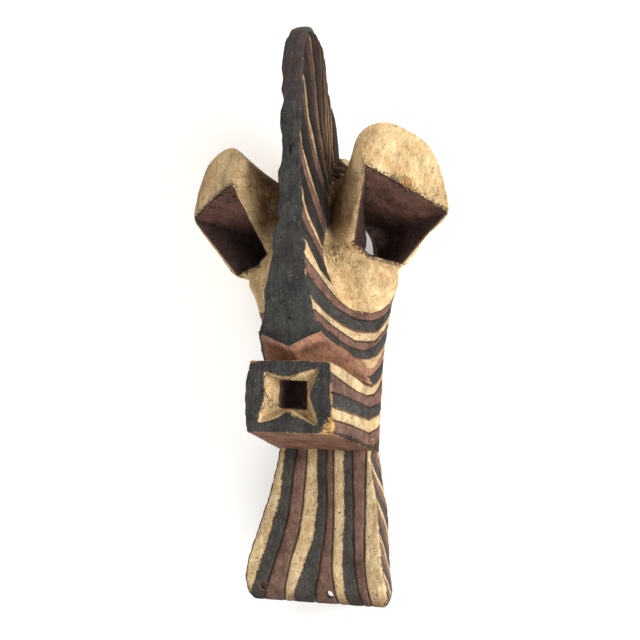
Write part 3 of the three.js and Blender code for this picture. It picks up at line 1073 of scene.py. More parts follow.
class Surface:
    """The clean joined solid, asked for zones and for distances to them."""

    def __init__(self, solid: bpy.types.Object) -> None:
        """Keeps the solid's faces and their zones.

        Args:
            solid: the joined solid, with zones on its faces.
        """
        mesh = solid.data
        self.points = [v.co.copy() for v in mesh.vertices]
        self.faces = [tuple(p.vertices) for p in mesh.polygons]
        self.zones = np.empty(len(mesh.polygons), np.int32)
        mesh.attributes["zone"].data.foreach_get("value", self.zones)
        self.tree = BVHTree.FromPolygons(self.points, self.faces)

    def zone_at(self, places: np.ndarray) -> np.ndarray:
        """Zone of the face nearest to each place."""
        found = [self.tree.find_nearest(Vector(p))[2] for p in places]
        return self.zones[found]

    def depth_in(self, places: np.ndarray, *members: Zone, reach: float = FAR) -> np.ndarray:
        """How far inside some zones each place is.

        Args:
            places: rows of x, y and z.
            members: the zones.
            reach: distances are cut off here.

        Returns:
            Millimetres to the zones' border, below zero outside them.
        """
        inside = np.isin(self.zones, [zone.value for zone in members])
        trees = []
        for keep in (inside, ~inside):
            trees.append(BVHTree.FromPolygons(self.points, [f for f, k in zip(self.faces, keep) if k]))
        gaps = np.full((2, len(places)), float(reach))
        for row, tree in enumerate(trees):
            for i, p in enumerate(places):
                distance = tree.find_nearest(Vector(p), reach)[3]
                if distance is not None:
                    gaps[row, i] = distance
        return gaps[1] - gaps[0]


@dataclass(frozen=True)
class Chip:
    """Place where a flake of painted wood has broken off."""

    place: Point
    reach: float
    depth: float


CHIPS = (
    Chip((114, 146, 116), 6, 1.8),
    Chip((108, 150, 120), 3.5, 1.2),
    Chip((121, 141, 110), 3, 1.0),
    Chip((47, -117, 166), 7.5, 1.8),
    Chip((48, -110, 166.5), 4.5, 0.9),
    Chip((41, -121, 165), 5, 1.2),
    Chip((62, -137, 60), 5, 1.6),
    Chip((84, -316, 60), 6, 2.0),
)
FLANK = (Zone.HEAD.value, Zone.BAR.value, Zone.TUBE.value)


@dataclass
class Relief:
    """Grooves between the bands, tool marks, nicks and chips, cut into the even mesh."""

    bar: Bar
    beard: Beard
    bands: Bands
    groove_width: float = 1.4
    groove_depth: float = 1.5
    groove_shares: tuple[float, float, float] = (0.4, 1.1, 1.5)
    groove_wear: Unevenness = Unevenness(14, 0.5, 11)
    groove_even: float = 0.8
    face_fade: float = 0.2
    pale_fade: Pair = (-1, 1.5)
    middle_fade: Pair = (1, 5)
    swell: float = 0.35
    swell_width: float = 3.5
    crest_start: float = 1.4
    panel_edge: float = 2.6
    plain: tuple[float, float, float] = (0.5, 20, 20)
    dome_start: float = 150
    dome_full: float = 175
    dome_margin: float = 6
    beard_start: float = -136
    scallop: Unevenness = Unevenness((20, 13, 20), 3.2, 41)
    scallop_end: float = -30
    scallop_reach: Pair = (-14, -2)
    wood: Unevenness = Unevenness(17, 0.28, 13)
    fine_wood: Unevenness = Unevenness(5, 0.22, 17)
    tube_wood: Unevenness = Unevenness(24, 0.35, 19)
    hollow_strokes: Unevenness = Unevenness((11, 26, 11), 0.9, 23)
    pocket_strokes: Unevenness = Unevenness((14, 6, 9), 0.35, 29)
    pocket_wood: Unevenness = Unevenness(4, 0.15, 31)
    crust: Unevenness = Unevenness((3, 6, 3), 1.0, 43)
    crust_place: Point = (30, 74, 112)
    crust_reach: float = 24
    crust_fade: float = 14
    rim: Pair = (0.05, 3)
    chip_seed: int = 37
    chip_margin: float = 1.4
    chip_grain: float = 0.5
    chip_rag: float = 0.35
    chip_start: float = 0.55
    chip_wear: float = 0.3

    def pale_depth(self, p: np.ndarray) -> np.ndarray:
        """How far inside the pale cheek each place on the flank is, in millimetres."""
        return np.minimum(along(self.bands.foot, p[:, 1]) - p[:, 2], self.above_cheek(p))

    def above_cheek(self, p: np.ndarray) -> np.ndarray:
        """How far above the cheek's highest red band each place is, in millimetres."""
        return p[:, 1] - along(self.bands.cheek[1], p[:, 2])

    def face_depth(self, p: np.ndarray) -> np.ndarray:
        """How far behind the bar's face each place is, in millimetres."""
        return self.bar.front_level(p[:, 1]) - p[:, 2]

    def on_panel(self, p: np.ndarray) -> np.ndarray:
        """Whether each place on the beard is on its panel, not on a side wall."""
        return p[:, 2] > self.beard.level(p[:, 1]) - self.panel_edge

    def crust_depth(self, p: np.ndarray) -> np.ndarray:
        """How far inside the crusty patches beside the crest each place is, in millimetres."""
        mirrored_places = np.column_stack([np.abs(p[:, 0]), p[:, 1], p[:, 2]])
        return self.crust_reach - np.linalg.norm(mirrored_places - self.crust_place, axis=1)

    def banding(self, p: np.ndarray, zone: np.ndarray) -> np.ndarray:
        """Band numbers, distances to the nearest border and widths, over the whole surface.

        Args:
            p: rows of x, y and z.
            zone: each place's zone.

        Returns:
            Three columns: the band number, and distance and width in millimetres.
        """
        found = np.tile(np.array(self.plain, float), (len(p), 1))
        beard = zone == Zone.BEARD.value
        panel = beard & self.on_panel(p)
        side = beard & ~panel
        flank = np.isin(zone, FLANK)
        found[flank] = self.bands.flank(p[flank])
        below = p[:, 2] < along(self.bands.foot, p[:, 1]) + self.dome_margin
        behind = below & (p[:, 1] > self.dome_start) | (p[:, 1] > self.dome_full)
        dome = (zone == Zone.HEAD.value) & behind
        found[dome] = self.bands.over_dome(p[dome])
        found[panel] = self.bands.beard_face(p[panel])
        found[side] = self.bands.beard_side(p[side], self.beard.level(p[side][:, 1]))
        return found

    def groove_share(self, p: np.ndarray, zone: np.ndarray, phase: np.ndarray) -> np.ndarray:
        """How deep the groove at the nearest border is, as a share of the full depth.

        Args:
            p: rows of x, y and z.
            zone: each place's zone.
            phase: each place's band number.

        Returns:
            Shares, 0 where there are no grooves.
        """
        beard = (zone == Zone.BEARD.value) & (p[:, 1] < self.beard_start)
        off_face = ramp(self.face_depth(p), self.face_fade, self.crest_start)
        share = off_face * ramp(-self.pale_depth(p), *self.pale_fade)
        share = np.where(np.isin(zone, FLANK), share * ramp(np.abs(p[:, 0]), *self.middle_fade), 0)
        share[(zone == Zone.TUBE.value) & (self.above_cheek(p) > -1)] = 0
        nearest = np.mod(np.round(phase), 3).astype(int)
        return np.where(beard, np.array(self.groove_shares)[nearest], share)

    def groove_moves(self, p: np.ndarray, zone: np.ndarray) -> np.ndarray:
        """How far the grooves push each place, and the bands swell between them.

        Args:
            p: rows of x, y and z.
            zone: each place's zone.

        Returns:
            Moves along the normals.
        """
        phase, gap, _ = self.banding(p, zone).T
        grooved = self.groove_share(p, zone, phase)
        uneven = self.groove_even + self.groove_wear.bumps(p)
        groove = np.exp(-((gap / self.groove_width) ** 2))
        swell = 1 - np.exp(-((gap / self.swell_width) ** 2))
        move = -self.groove_depth * grooved * uneven * groove
        return move + self.swell * np.minimum(grooved, 1) * swell

    def tool_moves(self, p: np.ndarray, zone: np.ndarray) -> np.ndarray:
        """How far the tool marks push each place.

        Args:
            p: rows of x, y and z.
            zone: each place's zone.

        Returns:
            Moves along the normals.
        """
        outside = zone <= Zone.UNDER.value
        pocket = np.isin(zone, (Zone.POCKET.value, Zone.CEILING.value))
        move = np.where(outside, self.wood.bumps(p) + self.fine_wood.bumps(p), 0)
        move += np.where(zone == Zone.TUBE.value, self.tube_wood.bumps(p), 0)
        move += np.where(zone == Zone.HOLLOW.value, self.hollow_strokes.strokes(p), 0)
        move += np.where(pocket, self.pocket_strokes.strokes(p) + self.pocket_wood.bumps(p), 0)
        crust = self.crust.bumps(p) * ramp(self.crust_depth(p), 0, self.crust_fade)
        return move + np.where(outside, crust, 0)

    def cut_chip(self, p: np.ndarray, move: np.ndarray, chip: Chip) -> None:
        """Adds one chip to the moves.

        Args:
            p: rows of x, y and z.
            move: moves along the normals, which change near the chip.
            chip: the chip.
        """
        away = np.linalg.norm(p - np.array(chip.place), axis=1)
        near = away < chip.reach * self.chip_margin
        rough = grain_noise(p[near], chip.reach * self.chip_grain, self.chip_seed)
        share = 1 - ramp(away[near] / chip.reach + self.chip_rag * rough, self.chip_start, 1.0)
        move[near] -= chip.depth * share * (1 + self.chip_wear * rough)

    def cut(self, piece: bpy.types.Object, surface: Surface) -> None:
        """Moves the even mesh's vertices.

        Args:
            piece: the even mesh, in millimetres.
            surface: the clean solid.
        """
        p, n = coords(piece), normals(piece)
        zone = surface.zone_at(p)
        move = self.groove_moves(p, zone)
        side = np.sign(p[:, 0])
        bar = (zone == Zone.BAR.value) & (p[:, 1] > self.scallop_end)
        scallop = self.scallop.bumps(np.column_stack([side * 50, p[:, 1], 0 * p[:, 1]]))
        p[:, 0] += np.where(bar, side * scallop * ramp(-self.face_depth(p), *self.scallop_reach), 0)
        move += self.tool_moves(p, zone)
        for chip in CHIPS:
            self.cut_chip(p, move, chip)
        p += n * (move * ramp(p[:, 2], *self.rim))[:, None]
        set_coords(piece, p)


def relaxed(points: np.ndarray, edges: np.ndarray, rounds: int) -> np.ndarray:
    """Vertices drawn again and again to the middle of their neighbours.

    Args:
        points: rows of x, y and z.
        edges: rows of two vertex numbers.
        rounds: how many times.

    Returns:
        The evened places.
    """
    count = len(points)
    a, b = edges[:, 0], edges[:, 1]
    degree = np.maximum(np.bincount(a, minlength=count) + np.bincount(b, minlength=count), 1)
    for _ in range(rounds):
        total = []
        for column in points.T:
            ahead = np.bincount(a, column[b], minlength=count)
            total.append(ahead + np.bincount(b, column[a], minlength=count))
        points = np.column_stack(total) / degree[:, None]
    return points


@dataclass
class Carving:
    """Joins the forms, cuts the hollows and holes, works the surface and notes where each paint goes."""

    grid: float = 1.25
    coarse_grid: float = 2.2
    evening: float = 0.5
    evening_rounds: int = 2
    triangles: int = 192000
    fine_rounds: int = 5
    broad_rounds: int = 45
    hollow_floor: float = -6

    def parts(self) -> tuple[list[bpy.types.Object], list[bpy.types.Object]]:
        """Builds the forms and the tools.

        Returns:
            The forms that are wood, and the tools that cut them.
        """
        bar = Bar().build()
        head = Shell("head", HEAD).build()
        beard = Beard().build()
        eyes = [EyeTube(side) for side in Side]
        tubes = [eye.build() for eye in eyes]
        cuts = Cuts()
        wood = [head, bar, beard, *tubes]
        tools = [
            cuts.build_notch(),
            cuts.build_under(),
            Shell("hollow", HOLLOW, floor=self.hollow_floor).build(),
            Beard().build_hollow(),
            *[eye.build_pocket() for eye in eyes],
            Mouth().build(),
            *[cuts.build_tie(place) for place in cuts.ties],
        ]
        for obj in wood + tools:
            mark(obj)
        return wood, tools

    def join(self, wood: list[bpy.types.Object], tools: list[bpy.types.Object]) -> bpy.types.Object:
        """Joins the wood and cuts it with the tools.

        Args:
            wood: head, bar, beard and the two tubes.
            tools: notch, underside, hollows, pockets, mouth and tie holes.

        Returns:
            One closed piece.
        """
        only(wood[0])
        bpy.ops.object.duplicate()
        piece = bpy.context.object
        piece.name = "mask"
        piece.data.name = "mask"
        combine(piece, wood[1], Join.ADD)
        for tool in tools[:2]:
            combine(piece, tool, Join.CUT)
        for part in wood[2:]:
            combine(piece, part, Join.ADD)
        for tool in tools[2:]:
            combine(piece, tool, Join.CUT)
        for obj in wood + tools:
            bpy.data.objects.remove(obj)
        return piece

    def apply(self, piece: bpy.types.Object, kind: str, **values: object) -> None:
        """Adds a modifier to the piece and applies it.

        Args:
            piece: the piece.
            kind: the modifier's type.
            **values: its settings.
        """
        only(piece)
        step = piece.modifiers.new(kind.lower(), kind)
        for name, value in values.items():
            setattr(step, name, value)
        bpy.ops.object.modifier_apply(modifier=step.name)

    def hollows_and_ridges(self, piece: bpy.types.Object) -> np.ndarray:
        """Finds how far each vertex stands out of its surroundings.

        Args:
            piece: the worked piece.

        Returns:
            Two columns, for the near and the broad surroundings.
        """
        p, n = coords(piece), normals(piece)
        edges = np.empty(len(piece.data.edges) * 2, np.int32)
        piece.data.edges.foreach_get("vertices", edges)
        edges = edges.reshape(-1, 2)
        near = relaxed(p, edges, self.fine_rounds)
        broad = relaxed(near, edges, self.broad_rounds)
        return np.column_stack([((p - near) * n).sum(axis=1), ((p - broad) * n).sum(axis=1)])

    def build(self) -> tuple[bpy.types.Object, Relief, Surface, np.ndarray]:
        """Builds the worked piece.

        Returns:
            The piece, its relief, its clean surface, and each vertex's hollows and ridges.
        """
        wood, tools = self.parts()
        piece = self.join(wood, tools)
        surface = Surface(piece)
        grid = self.grid
        self.apply(piece, "REMESH", mode="VOXEL", voxel_size=grid)
        self.apply(piece, "SMOOTH", factor=self.evening, iterations=self.evening_rounds)
        relief = Relief(Bar(), Beard(), Bands())
        relief.cut(piece, surface)
        shape = self.hollows_and_ridges(piece)
        tree = KDTree(len(shape))
        for i, vertex in enumerate(piece.data.vertices):
            tree.insert(vertex.co, i)
        tree.balance()
        share = self.triangles / (2 * len(piece.data.polygons))
        self.apply(piece, "DECIMATE", ratio=min(1.0, share))
        self.apply(piece, "TRIANGULATE")
        found = [tree.find(vertex.co)[1] for vertex in piece.data.vertices]
        return piece, relief, surface, shape[found]


STAR = (
    (-26, -60), (-24, -63), (-20, -65), (-14, -67), (-5, -67), (5, -64), (11, -60), (18, -58), (24, -56), (33, -54),
    (30, -58), (26, -65), (25, -73), (23, -82), (28, -92), (31, -100), (33, -108), (34, -115), (22, -109), (16, -106),
    (9, -105), (0, -100), (-4, -102), (-11, -107), (-18, -110), (-33, -114), (-36, -112), (-34, -107), (-31, -101),
    (-27, -93), (-24, -86), (-27, -78), (-28, -71), (-28, -64),
)
CREVICE = ((92, 113), (110, 105), (121, 103), (133, 104), (146, 104), (156, 90), (165, 72))


@dataclass
class Skin:
    """The worked piece's vertices: places, normals, zones, band numbers and band widths."""

    p: np.ndarray
    n: np.ndarray
    zone: np.ndarray
    band: np.ndarray
    width: np.ndarray

    def among(self, *members: Zone) -> np.ndarray:
        """Whether each vertex lies in one of some zones."""
        return np.isin(self.zone, [zone.value for zone in members])

    def flank(self) -> np.ndarray:
        """Whether each vertex lies on the head, the bar or a tube."""
        return np.isin(self.zone, FLANK)


@dataclass
class PaintMap:
    """Notes on each vertex which paint it carries, as distances inside each painted stretch."""

    relief: Relief
    surface: Surface
    most: float = 30
    tube_back: float = 20
    cheek_top: float = 176
    crest_top: float = 314
    star_top: float = -44
    star_level: float = 151
    throat_level: float = 153
    patch_level: float = 90
    wrap: float = 3.6
    wrap_share: Line = ((-12, 1), (22, 0))
    wear: Line = ((-130, 0.55), (-125, 0.8), (-120, 1), (-48, 1), (-44, 0.75), (-5, 0.65), (5, 0.55))
    crevice_reach: Pair = (17, 28)
    crevice_heights: Pair = (88, 168)
    crevice_ends: Line = ((90, 9), (104, 0), (152, 0), (162, 9))
    shadow_edge: Line = ((112, 56), (146, 56), (148, 70), (158, 63), (166, 58.5), (177, 57))
    right_shadow: Line = ((34, 1), (44, 0.75), (52, 0.5))
    left_shadow: Line = ((53, 1), (59, 0.6), (66, 0))
    red_shadow: Line = ((90, 0), (150, 0.15), (230, 0.6), (320, 0.85))
    black_shadow: Line = ((90, 0.45), (150, 0.85), (230, 1), (320, 1))
    shadow_rise: Pair = (84, 112)
    lip_shadow: float = 0.35
    wall_shadow: float = 0.8
    sunk_shadow: float = 0.7
    sunk_levels: Pair = (-82, -50)
    sunk_crevice: float = 8
    # Painted shade on the beard: how much its left-facing and down-facing faces darken.
    left_shade_turn: Pair = (0.25, 0.7)
    under_shade_turn: Pair = (0.35, 0.8)
    under_shade_share: float = 0.9
    beard_dust: Line = ((0.9, 0), (1.1, 0.09), (1.9, 0.09), (2.1, 0.05))
    stroke: Pair = (3, 16)

    def pale(self, skin: Skin) -> np.ndarray:
        """Finds how far inside the pale eye tubes and upper cheeks each vertex is.

        Args:
            skin: the vertices.

        Returns:
            Depths in millimetres.
        """
        p = skin.p
        tube = np.where(p[:, 2] > self.tube_back, self.surface.depth_in(p, Zone.TUBE), -FAR)
        tube = np.where(skin.among(Zone.TUBE), np.minimum(tube, self.relief.above_cheek(p)), tube)
        cheek = skin.flank() & (p[:, 1] < self.cheek_top)
        return np.maximum(tube, np.where(cheek, self.relief.pale_depth(p), -FAR))

    def face(self, skin: Skin) -> np.ndarray:
        """How far inside the black face of the bar each vertex is."""
        depth = self.relief.crest_start - self.relief.face_depth(skin.p)
        return np.where(skin.among(Zone.BAR), np.maximum(depth, skin.p[:, 1] - self.crest_top), -FAR)

    def star(self, skin: Skin) -> np.ndarray:
        """Finds how far inside the pale star and the pale patches beside the mouth each vertex is.

        Args:
            skin: the vertices.

        Returns:
            Depths in millimetres.
        """
        x, y, z = skin.p.T
        front = skin.among(Zone.BAR, Zone.MOUTH) & (y < self.star_top) & (z > self.star_level)
        star = np.where(front, within(x, y, STAR), -FAR)
        patch = np.minimum(y - along(self.relief.bands.patch, z), (skin.band - 6) * skin.width)
        return np.maximum(star, np.where(skin.flank() & (z < self.patch_level), patch, -FAR))

    def lip(self, skin: Skin) -> np.ndarray:
        """How far inside the earth band beside the mouth box's top each vertex is."""
        return np.where(skin.flank(), np.minimum(skin.band - 6, 7 - skin.band) * skin.width, -FAR)

    def crevice(self, skin: Skin) -> np.ndarray:
        """Finds how far inside the painted shade of the crevice behind the brows each vertex is.

        Args:
            skin: the vertices.

        Returns:
            Depths in millimetres.
        """
        x, y, z = skin.p.T
        away = np.abs(z - along(CREVICE, y))
        depth = np.minimum(self.crevice_reach[0] - away, self.crevice_reach[1] - np.abs(x))
        low, high = self.crevice_heights
        near = (y > low) & (y < high) & (skin.zone <= Zone.TUBE.value)
        return np.where(near, depth - along(self.crevice_ends, y), -FAR)

    def gloom(self, skin: Skin, pale: np.ndarray, face: np.ndarray, lip: np.ndarray) -> np.ndarray:
        """Finds how much each vertex lies in soft shadow beside the crest.

        Args:
            skin: the vertices.
            pale: their depths in the pale stretches.
            face: their depths in the bar's face.
            lip: their depths in the band beside the mouth box's top.

        Returns:
            Shares from 0 to 1.
        """
        x, y, _ = skin.p.T
        right = along(self.right_shadow, x) * ramp(along(self.shadow_edge, y) - x, -1.5, 1.5)
        gloom = np.where(x < 0, along(self.left_shadow, -x), right) * ramp(y, *self.shadow_rise)
        pale_side = (pale > 0) & skin.flank()
        gloom = np.where(pale_side, gloom, np.where(lip > -1, self.lip_shadow, 0))
        red, black = along(self.red_shadow, y), along(self.black_shadow, y)
        turn = np.mod(skin.band, 3)
        high = np.where(turn < 1, 0.1 + 0.5 * red, np.where(turn < 2, red, black))
        crest = skin.flank() & (skin.band < 0) & ~pale_side & (face < 0.2)
        return np.where(crest, high, gloom)

    def pocket_gloom(self, skin: Skin, sunk: np.ndarray) -> np.ndarray:
        """Finds how much each vertex of the pockets lies in shadow, more on the walls beside the nose.

        Args:
            skin: the vertices.
            sunk: the least share at each vertex.

        Returns:
            Shares from 0 to 1.
        """
        x, across = skin.p[:, 0], skin.n[:, 0]
        wall = skin.among(Zone.POCKET) & (np.abs(across) > 0.5) & (x * across > 0)
        return np.maximum(np.where(wall, self.wall_shadow, 0), sunk)

    def strokes(self, skin: Skin, pale: np.ndarray, face: np.ndarray) -> np.ndarray:
        """Lays out the brush strokes.

        Args:
            skin: the vertices.
            pale: their depths in the pale stretches.
            face: their depths in the bar's face.

        Returns:
            Rows of a place across the strokes, one along them and one that tells the sides apart.
        """
        x, y, z = skin.p.T
        fine, long = self.stroke
        flank, beard = skin.flank(), skin.among(Zone.BEARD)
        front, light = (face > 0) | (skin.zone > Zone.TUBE.value), pale > 0
        by_band = skin.band * np.clip(skin.width, 3, 20) / fine
        ways = (x / fine, (x + z * 0.4) / fine, skin.band * 4, by_band)
        across = np.select((front, light, beard, flank), ways, x / fine)
        lengthwise = np.select((front | light | beard, skin.band < 0), (y, y + z), z) / long
        return np.column_stack([across, lengthwise, np.where(flank, np.sign(x) * 5, skin.zone)])

    def build(self, piece: bpy.types.Object, shape: np.ndarray) -> None:
        """Writes all the notes.

        Args:
            piece: the worked piece, in millimetres.
            shape: each vertex's hollows and ridges.
        """
        p, n = coords(piece), normals(piece)
        zone = self.surface.zone_at(p)
        band, _, width = self.relief.banding(p, zone).T
        skin = Skin(p, n, zone, band, width)
        pale, face, lip = self.pale(skin), self.face(skin), self.lip(skin)
        gloom = self.gloom(skin, pale, face, lip)
        under_edge = skin.among(Zone.NOTCH) & (n[:, 1] < -0.1)
        notch = self.surface.depth_in(p, Zone.NOTCH)
        wrap = self.wrap * along(self.wrap_share, p[:, 0])
        face = np.where(under_edge, wrap - notch, face)
        notch = np.where(under_edge, notch - wrap, notch)
        pocket = skin.among(Zone.POCKET, Zone.CEILING)
        sunk = np.where(p[:, 0] < 0, self.sunk_shadow * ramp(-p[:, 2], *self.sunk_levels), 0)
        chips = [spot.reach - np.linalg.norm(p - np.array(spot.place), axis=1) for spot in CHIPS]
        # Painted shade on the beard's faces that turn left and down.
        foot = self.under_shade_share * ramp(-n[:, 1], *self.under_shade_turn)
        grime = np.maximum(ramp(-n[:, 0], *self.left_shade_turn), foot)
        beard = skin.among(Zone.BEARD)
        notes = {
            "band_width": np.clip(width, 0.5, self.most),
            "pale": pale,
            "face": face,
            "earth": self.surface.depth_in(p, Zone.UNDER),
            "seam": self.relief.groove_share(p, zone, band),
            "star": self.star(skin),
            "throat": np.where(p[:, 2] <= self.throat_level, self.surface.depth_in(p, Zone.MOUTH), -FAR),
            "socket": self.surface.depth_in(p, Zone.POCKET, Zone.CEILING, Zone.TIE),
            "ceiling": self.surface.depth_in(p, Zone.CEILING),
            "inside": self.surface.depth_in(p, Zone.HOLLOW),
            "ridge": shape[:, 0] * along(self.wear, p[:, 1]),
            # How far each vertex stands out of its broad surroundings; the hollows get painted shade, partly dirt, from
            # it.
            "stand": shape[:, 1],
            "chip": np.max(chips, axis=0),
            "crust": self.relief.crust_depth(p),
            # Painted shade: the crevice behind the brows, and deep in the left pocket.
            "crevice": np.where(pocket, self.sunk_crevice * sunk, self.crevice(skin)),
            "gloom": np.clip(np.where(pocket, self.pocket_gloom(skin, sunk), gloom), 0, 1),
            # Painted shade on the beard's left and lower faces.
            "grime": np.where(beard, grime, 0),
            "dust": np.where(beard, along(self.beard_dust, np.mod(band, 3)), 0),
            "notch": np.maximum(notch, lip),
        }
        notes = {name: np.clip(values, -FAR, self.most) for name, values in notes.items()}
        for name, values in {"band": band, **notes}.items():
            layer = piece.data.attributes.new(name, "FLOAT", "POINT")
            layer.data.foreach_set("value", np.asarray(values, np.float32))
        layer = piece.data.attributes.new("stroke", "FLOAT_VECTOR", "POINT")
        layer.data.foreach_set("vector", self.strokes(skin, pale, face).astype(np.float32).ravel())


def paint(red: int, green: int, blue: int) -> Color:
    """Colour as the shader needs it, from the numbers that a colour chart gives."""
    parts = [((c / 255 + 0.055) / 1.055) ** 2.4 if c > 10 else c / 255 / 12.92 for c in (red, green, blue)]
    return (parts[0], parts[1], parts[2], 1.0)


class Graph:
    """Short ways to place and join shader nodes."""

    def __init__(self, tree: bpy.types.NodeTree) -> None:
        """Works on one node tree."""
        self.tree = tree

    def node(self, kind: str, **settings: object) -> bpy.types.Node:
        """Adds a node.

        Args:
            kind: the node's type.
            **settings: its options.

        Returns:
            The node.
        """
        node = self.tree.nodes.new(kind)
        for name, value in settings.items():
            setattr(node, name, value)
        return node

    def feed(self, socket: Socket, value: object) -> None:
        """Joins or sets an input.

        Args:
            socket: the input.
            value: an output to join, or a value.
        """
        if isinstance(value, bpy.types.NodeSocket):
            self.tree.links.new(value, socket)
        else:
            socket.default_value = value

    def math(self, operation: str, a: object, b: object = 0.0, clamp: bool = False) -> Socket:
        """Works on one or two numbers.

        Args:
            operation: as the math node names it.
            a: the first number.
            b: the second one.
            clamp: whether the result is kept from 0 to 1.

        Returns:
            The result.
        """
        node = self.node("ShaderNodeMath", operation=operation, use_clamp=clamp)
        self.feed(node.inputs[0], a)
        self.feed(node.inputs[1], b)
        return node.outputs[0]

    def times(self, a: object, b: object, clamp: bool = False) -> Socket:
        """Product of two numbers."""
        return self.math("MULTIPLY", a, b, clamp)

    def plus(self, a: object, b: object) -> Socket:
        """Sum of two numbers."""
        return self.math("ADD", a, b)

    def minus(self, a: object, b: object) -> Socket:
        """The first number less the second one."""
        return self.math("SUBTRACT", a, b)

    def size(self, a: object) -> Socket:
        """The number without its sign."""
        return self.math("ABSOLUTE", a)

    def mix(self, share: object, a: object, b: object, blend: str = "MIX") -> Socket:
        """Mixes two colours.

        Args:
            share: how much of the second one.
            a: the first colour.
            b: the second one.
            blend: as the mix node names it.

        Returns:
            The mixed colour.
        """
        node = self.node("ShaderNodeMix", data_type="RGBA", blend_type=blend)
        for spot, value in ((0, share), (6, a), (7, b)):
            self.feed(node.inputs[spot], value)
        return node.outputs[2]

    def step(self, value: object, low: float, high: float, start: float = 0, end: float = 1) -> Socket:
        """Steps softly from one result to another.

        Args:
            value: the number that decides.
            low: where the step starts.
            high: where it ends.
            start: the result before it.
            end: the result after it.

        Returns:
            The result.
        """
        node = self.node("ShaderNodeMapRange", interpolation_type="SMOOTHSTEP")
        for spot, setting in enumerate((value, low, high, start, end)):
            self.feed(node.inputs[spot], setting)
        return node.outputs[0]

    def noise(self, vector: Socket, scale: float, detail: float = 2, rough: float = 0.5) -> Socket:
        """Makes noise from 0 to 1.

        Args:
            vector: where it is read.
            scale: how fine it is.
            detail: how many finer noises are added.
            rough: how strong those are.

        Returns:
            The noise.
        """
        node = self.node("ShaderNodeTexNoise")
        for name, value in (("Vector", vector), ("Scale", scale), ("Detail", detail), ("Roughness", rough)):
            self.feed(node.inputs[name], value)
        return node.outputs[0]

    def stretched(self, vector: Socket, scales: Point) -> Socket:
        """Stretches coordinates.

        Args:
            vector: the coordinates.
            scales: a factor for each axis.

        Returns:
            The stretched coordinates.
        """
        node = self.node("ShaderNodeVectorMath", operation="MULTIPLY")
        self.feed(node.inputs[0], vector)
        self.feed(node.inputs[1], scales)
        return node.outputs[0]

    def note(self, name: str) -> Socket:
        """A number stored on the mesh."""
        return self.node("ShaderNodeAttribute", attribute_name=name).outputs["Fac"]

    def use(self, group: bpy.types.NodeTree, **values: object) -> bpy.types.Node:
        """Places a group.

        Args:
            group: the node group.
            **values: its inputs, in lower case.

        Returns:
            The group's node.
        """
        node = self.node("ShaderNodeGroup", node_tree=group)
        for name, value in values.items():
            self.feed(node.inputs[name.replace("_", " ").title()], value)
        return node


def new_group(
    name: str, inputs: dict[str, str], outputs: dict[str, str]
) -> tuple[Graph, dict[str, Socket], bpy.types.Node]:
    """Starts a shader node group.

    Args:
        name: the group's name.
        inputs: input names and whether each is a Float, Vector or Color.
        outputs: the same for its outputs.

    Returns:
        The graph to build in, its inputs by name and its output node.
    """
    tree = bpy.data.node_groups.new(name, "ShaderNodeTree")
    for direction, sockets in (("INPUT", inputs), ("OUTPUT", outputs)):
        for label, kind in sockets.items():
            tree.interface.new_socket(name=label, in_out=direction, socket_type=f"NodeSocket{kind}")
    graph = Graph(tree)
    entry = graph.node("NodeGroupInput")
    return graph, {label: entry.outputs[label] for label in inputs}, graph.node("NodeGroupOutput")


def brushed_paint_group() -> bpy.types.NodeTree:
    """Builds dry paint laid on with a brush: mottled, streaked, flecked.

    Returns:
        The node group.
    """
    graph, given, out = new_group(
        "brushed_paint",
        {
            "Vector": "Vector",
            "Stroke": "Vector",
            "Main": "Color",
            "Shade": "Color",
            "Fleck": "Color",
            "Mottle": "Float",
            "Flecks": "Float",
        },
        {"Color": "Color", "Height": "Float"},
    )
    vector = given["Vector"]
    broad = graph.step(graph.noise(vector, 55, 4, 0.65), 0.36, 0.64)
    streak = graph.step(graph.noise(given["Stroke"], 2.3, 5, 0.72), 0.36, 0.66)
    fine = graph.noise(vector, 760, 3, 0.65)
    share = graph.plus(graph.times(broad, 0.5), graph.times(streak, 0.7))
    share = graph.plus(share, graph.times(graph.minus(fine, 0.5), 1.6))
    share = graph.times(share, given["Mottle"], clamp=True)
    color = graph.mix(share, given["Main"], given["Shade"])
    patches = graph.step(graph.noise(vector, 90, 3, 0.6), 0.42, 0.6)
    fleck = graph.step(graph.noise(vector, 330, 5, 0.66), 0.57, 0.61)
    fleck = graph.times(graph.times(fleck, patches), given["Flecks"])
    color = graph.mix(fleck, color, given["Fleck"])
    height = graph.plus(graph.times(streak, 0.45), graph.times(fine, 0.7))
    height = graph.minus(height, graph.times(fleck, 0.5))
    graph.feed(out.inputs["Color"], color)
    graph.feed(out.inputs["Height"], height)
    return graph.tree


def bare_wood_group() -> bpy.types.NodeTree:
    """Builds bare wood with its grain along the mask.

    Returns:
        The node group.
    """
    inputs = {"Vector": "Vector", "Light": "Color", "Dark": "Color"}
    graph, given, out = new_group("bare_wood", inputs, {"Color": "Color"})
    vector = given["Vector"]
    grain = graph.noise(graph.stretched(vector, (900, 45, 900)), 1, 4, 0.6)
    broad = graph.noise(graph.stretched(vector, (90, 14, 90)), 1, 3, 0.5)
    share = graph.plus(graph.times(grain, 0.6), graph.times(broad, 0.5))
    color = graph.mix(graph.step(share, 0.32, 0.78), given["Light"], given["Dark"])
    graph.feed(out.inputs["Color"], color)
    return graph.tree


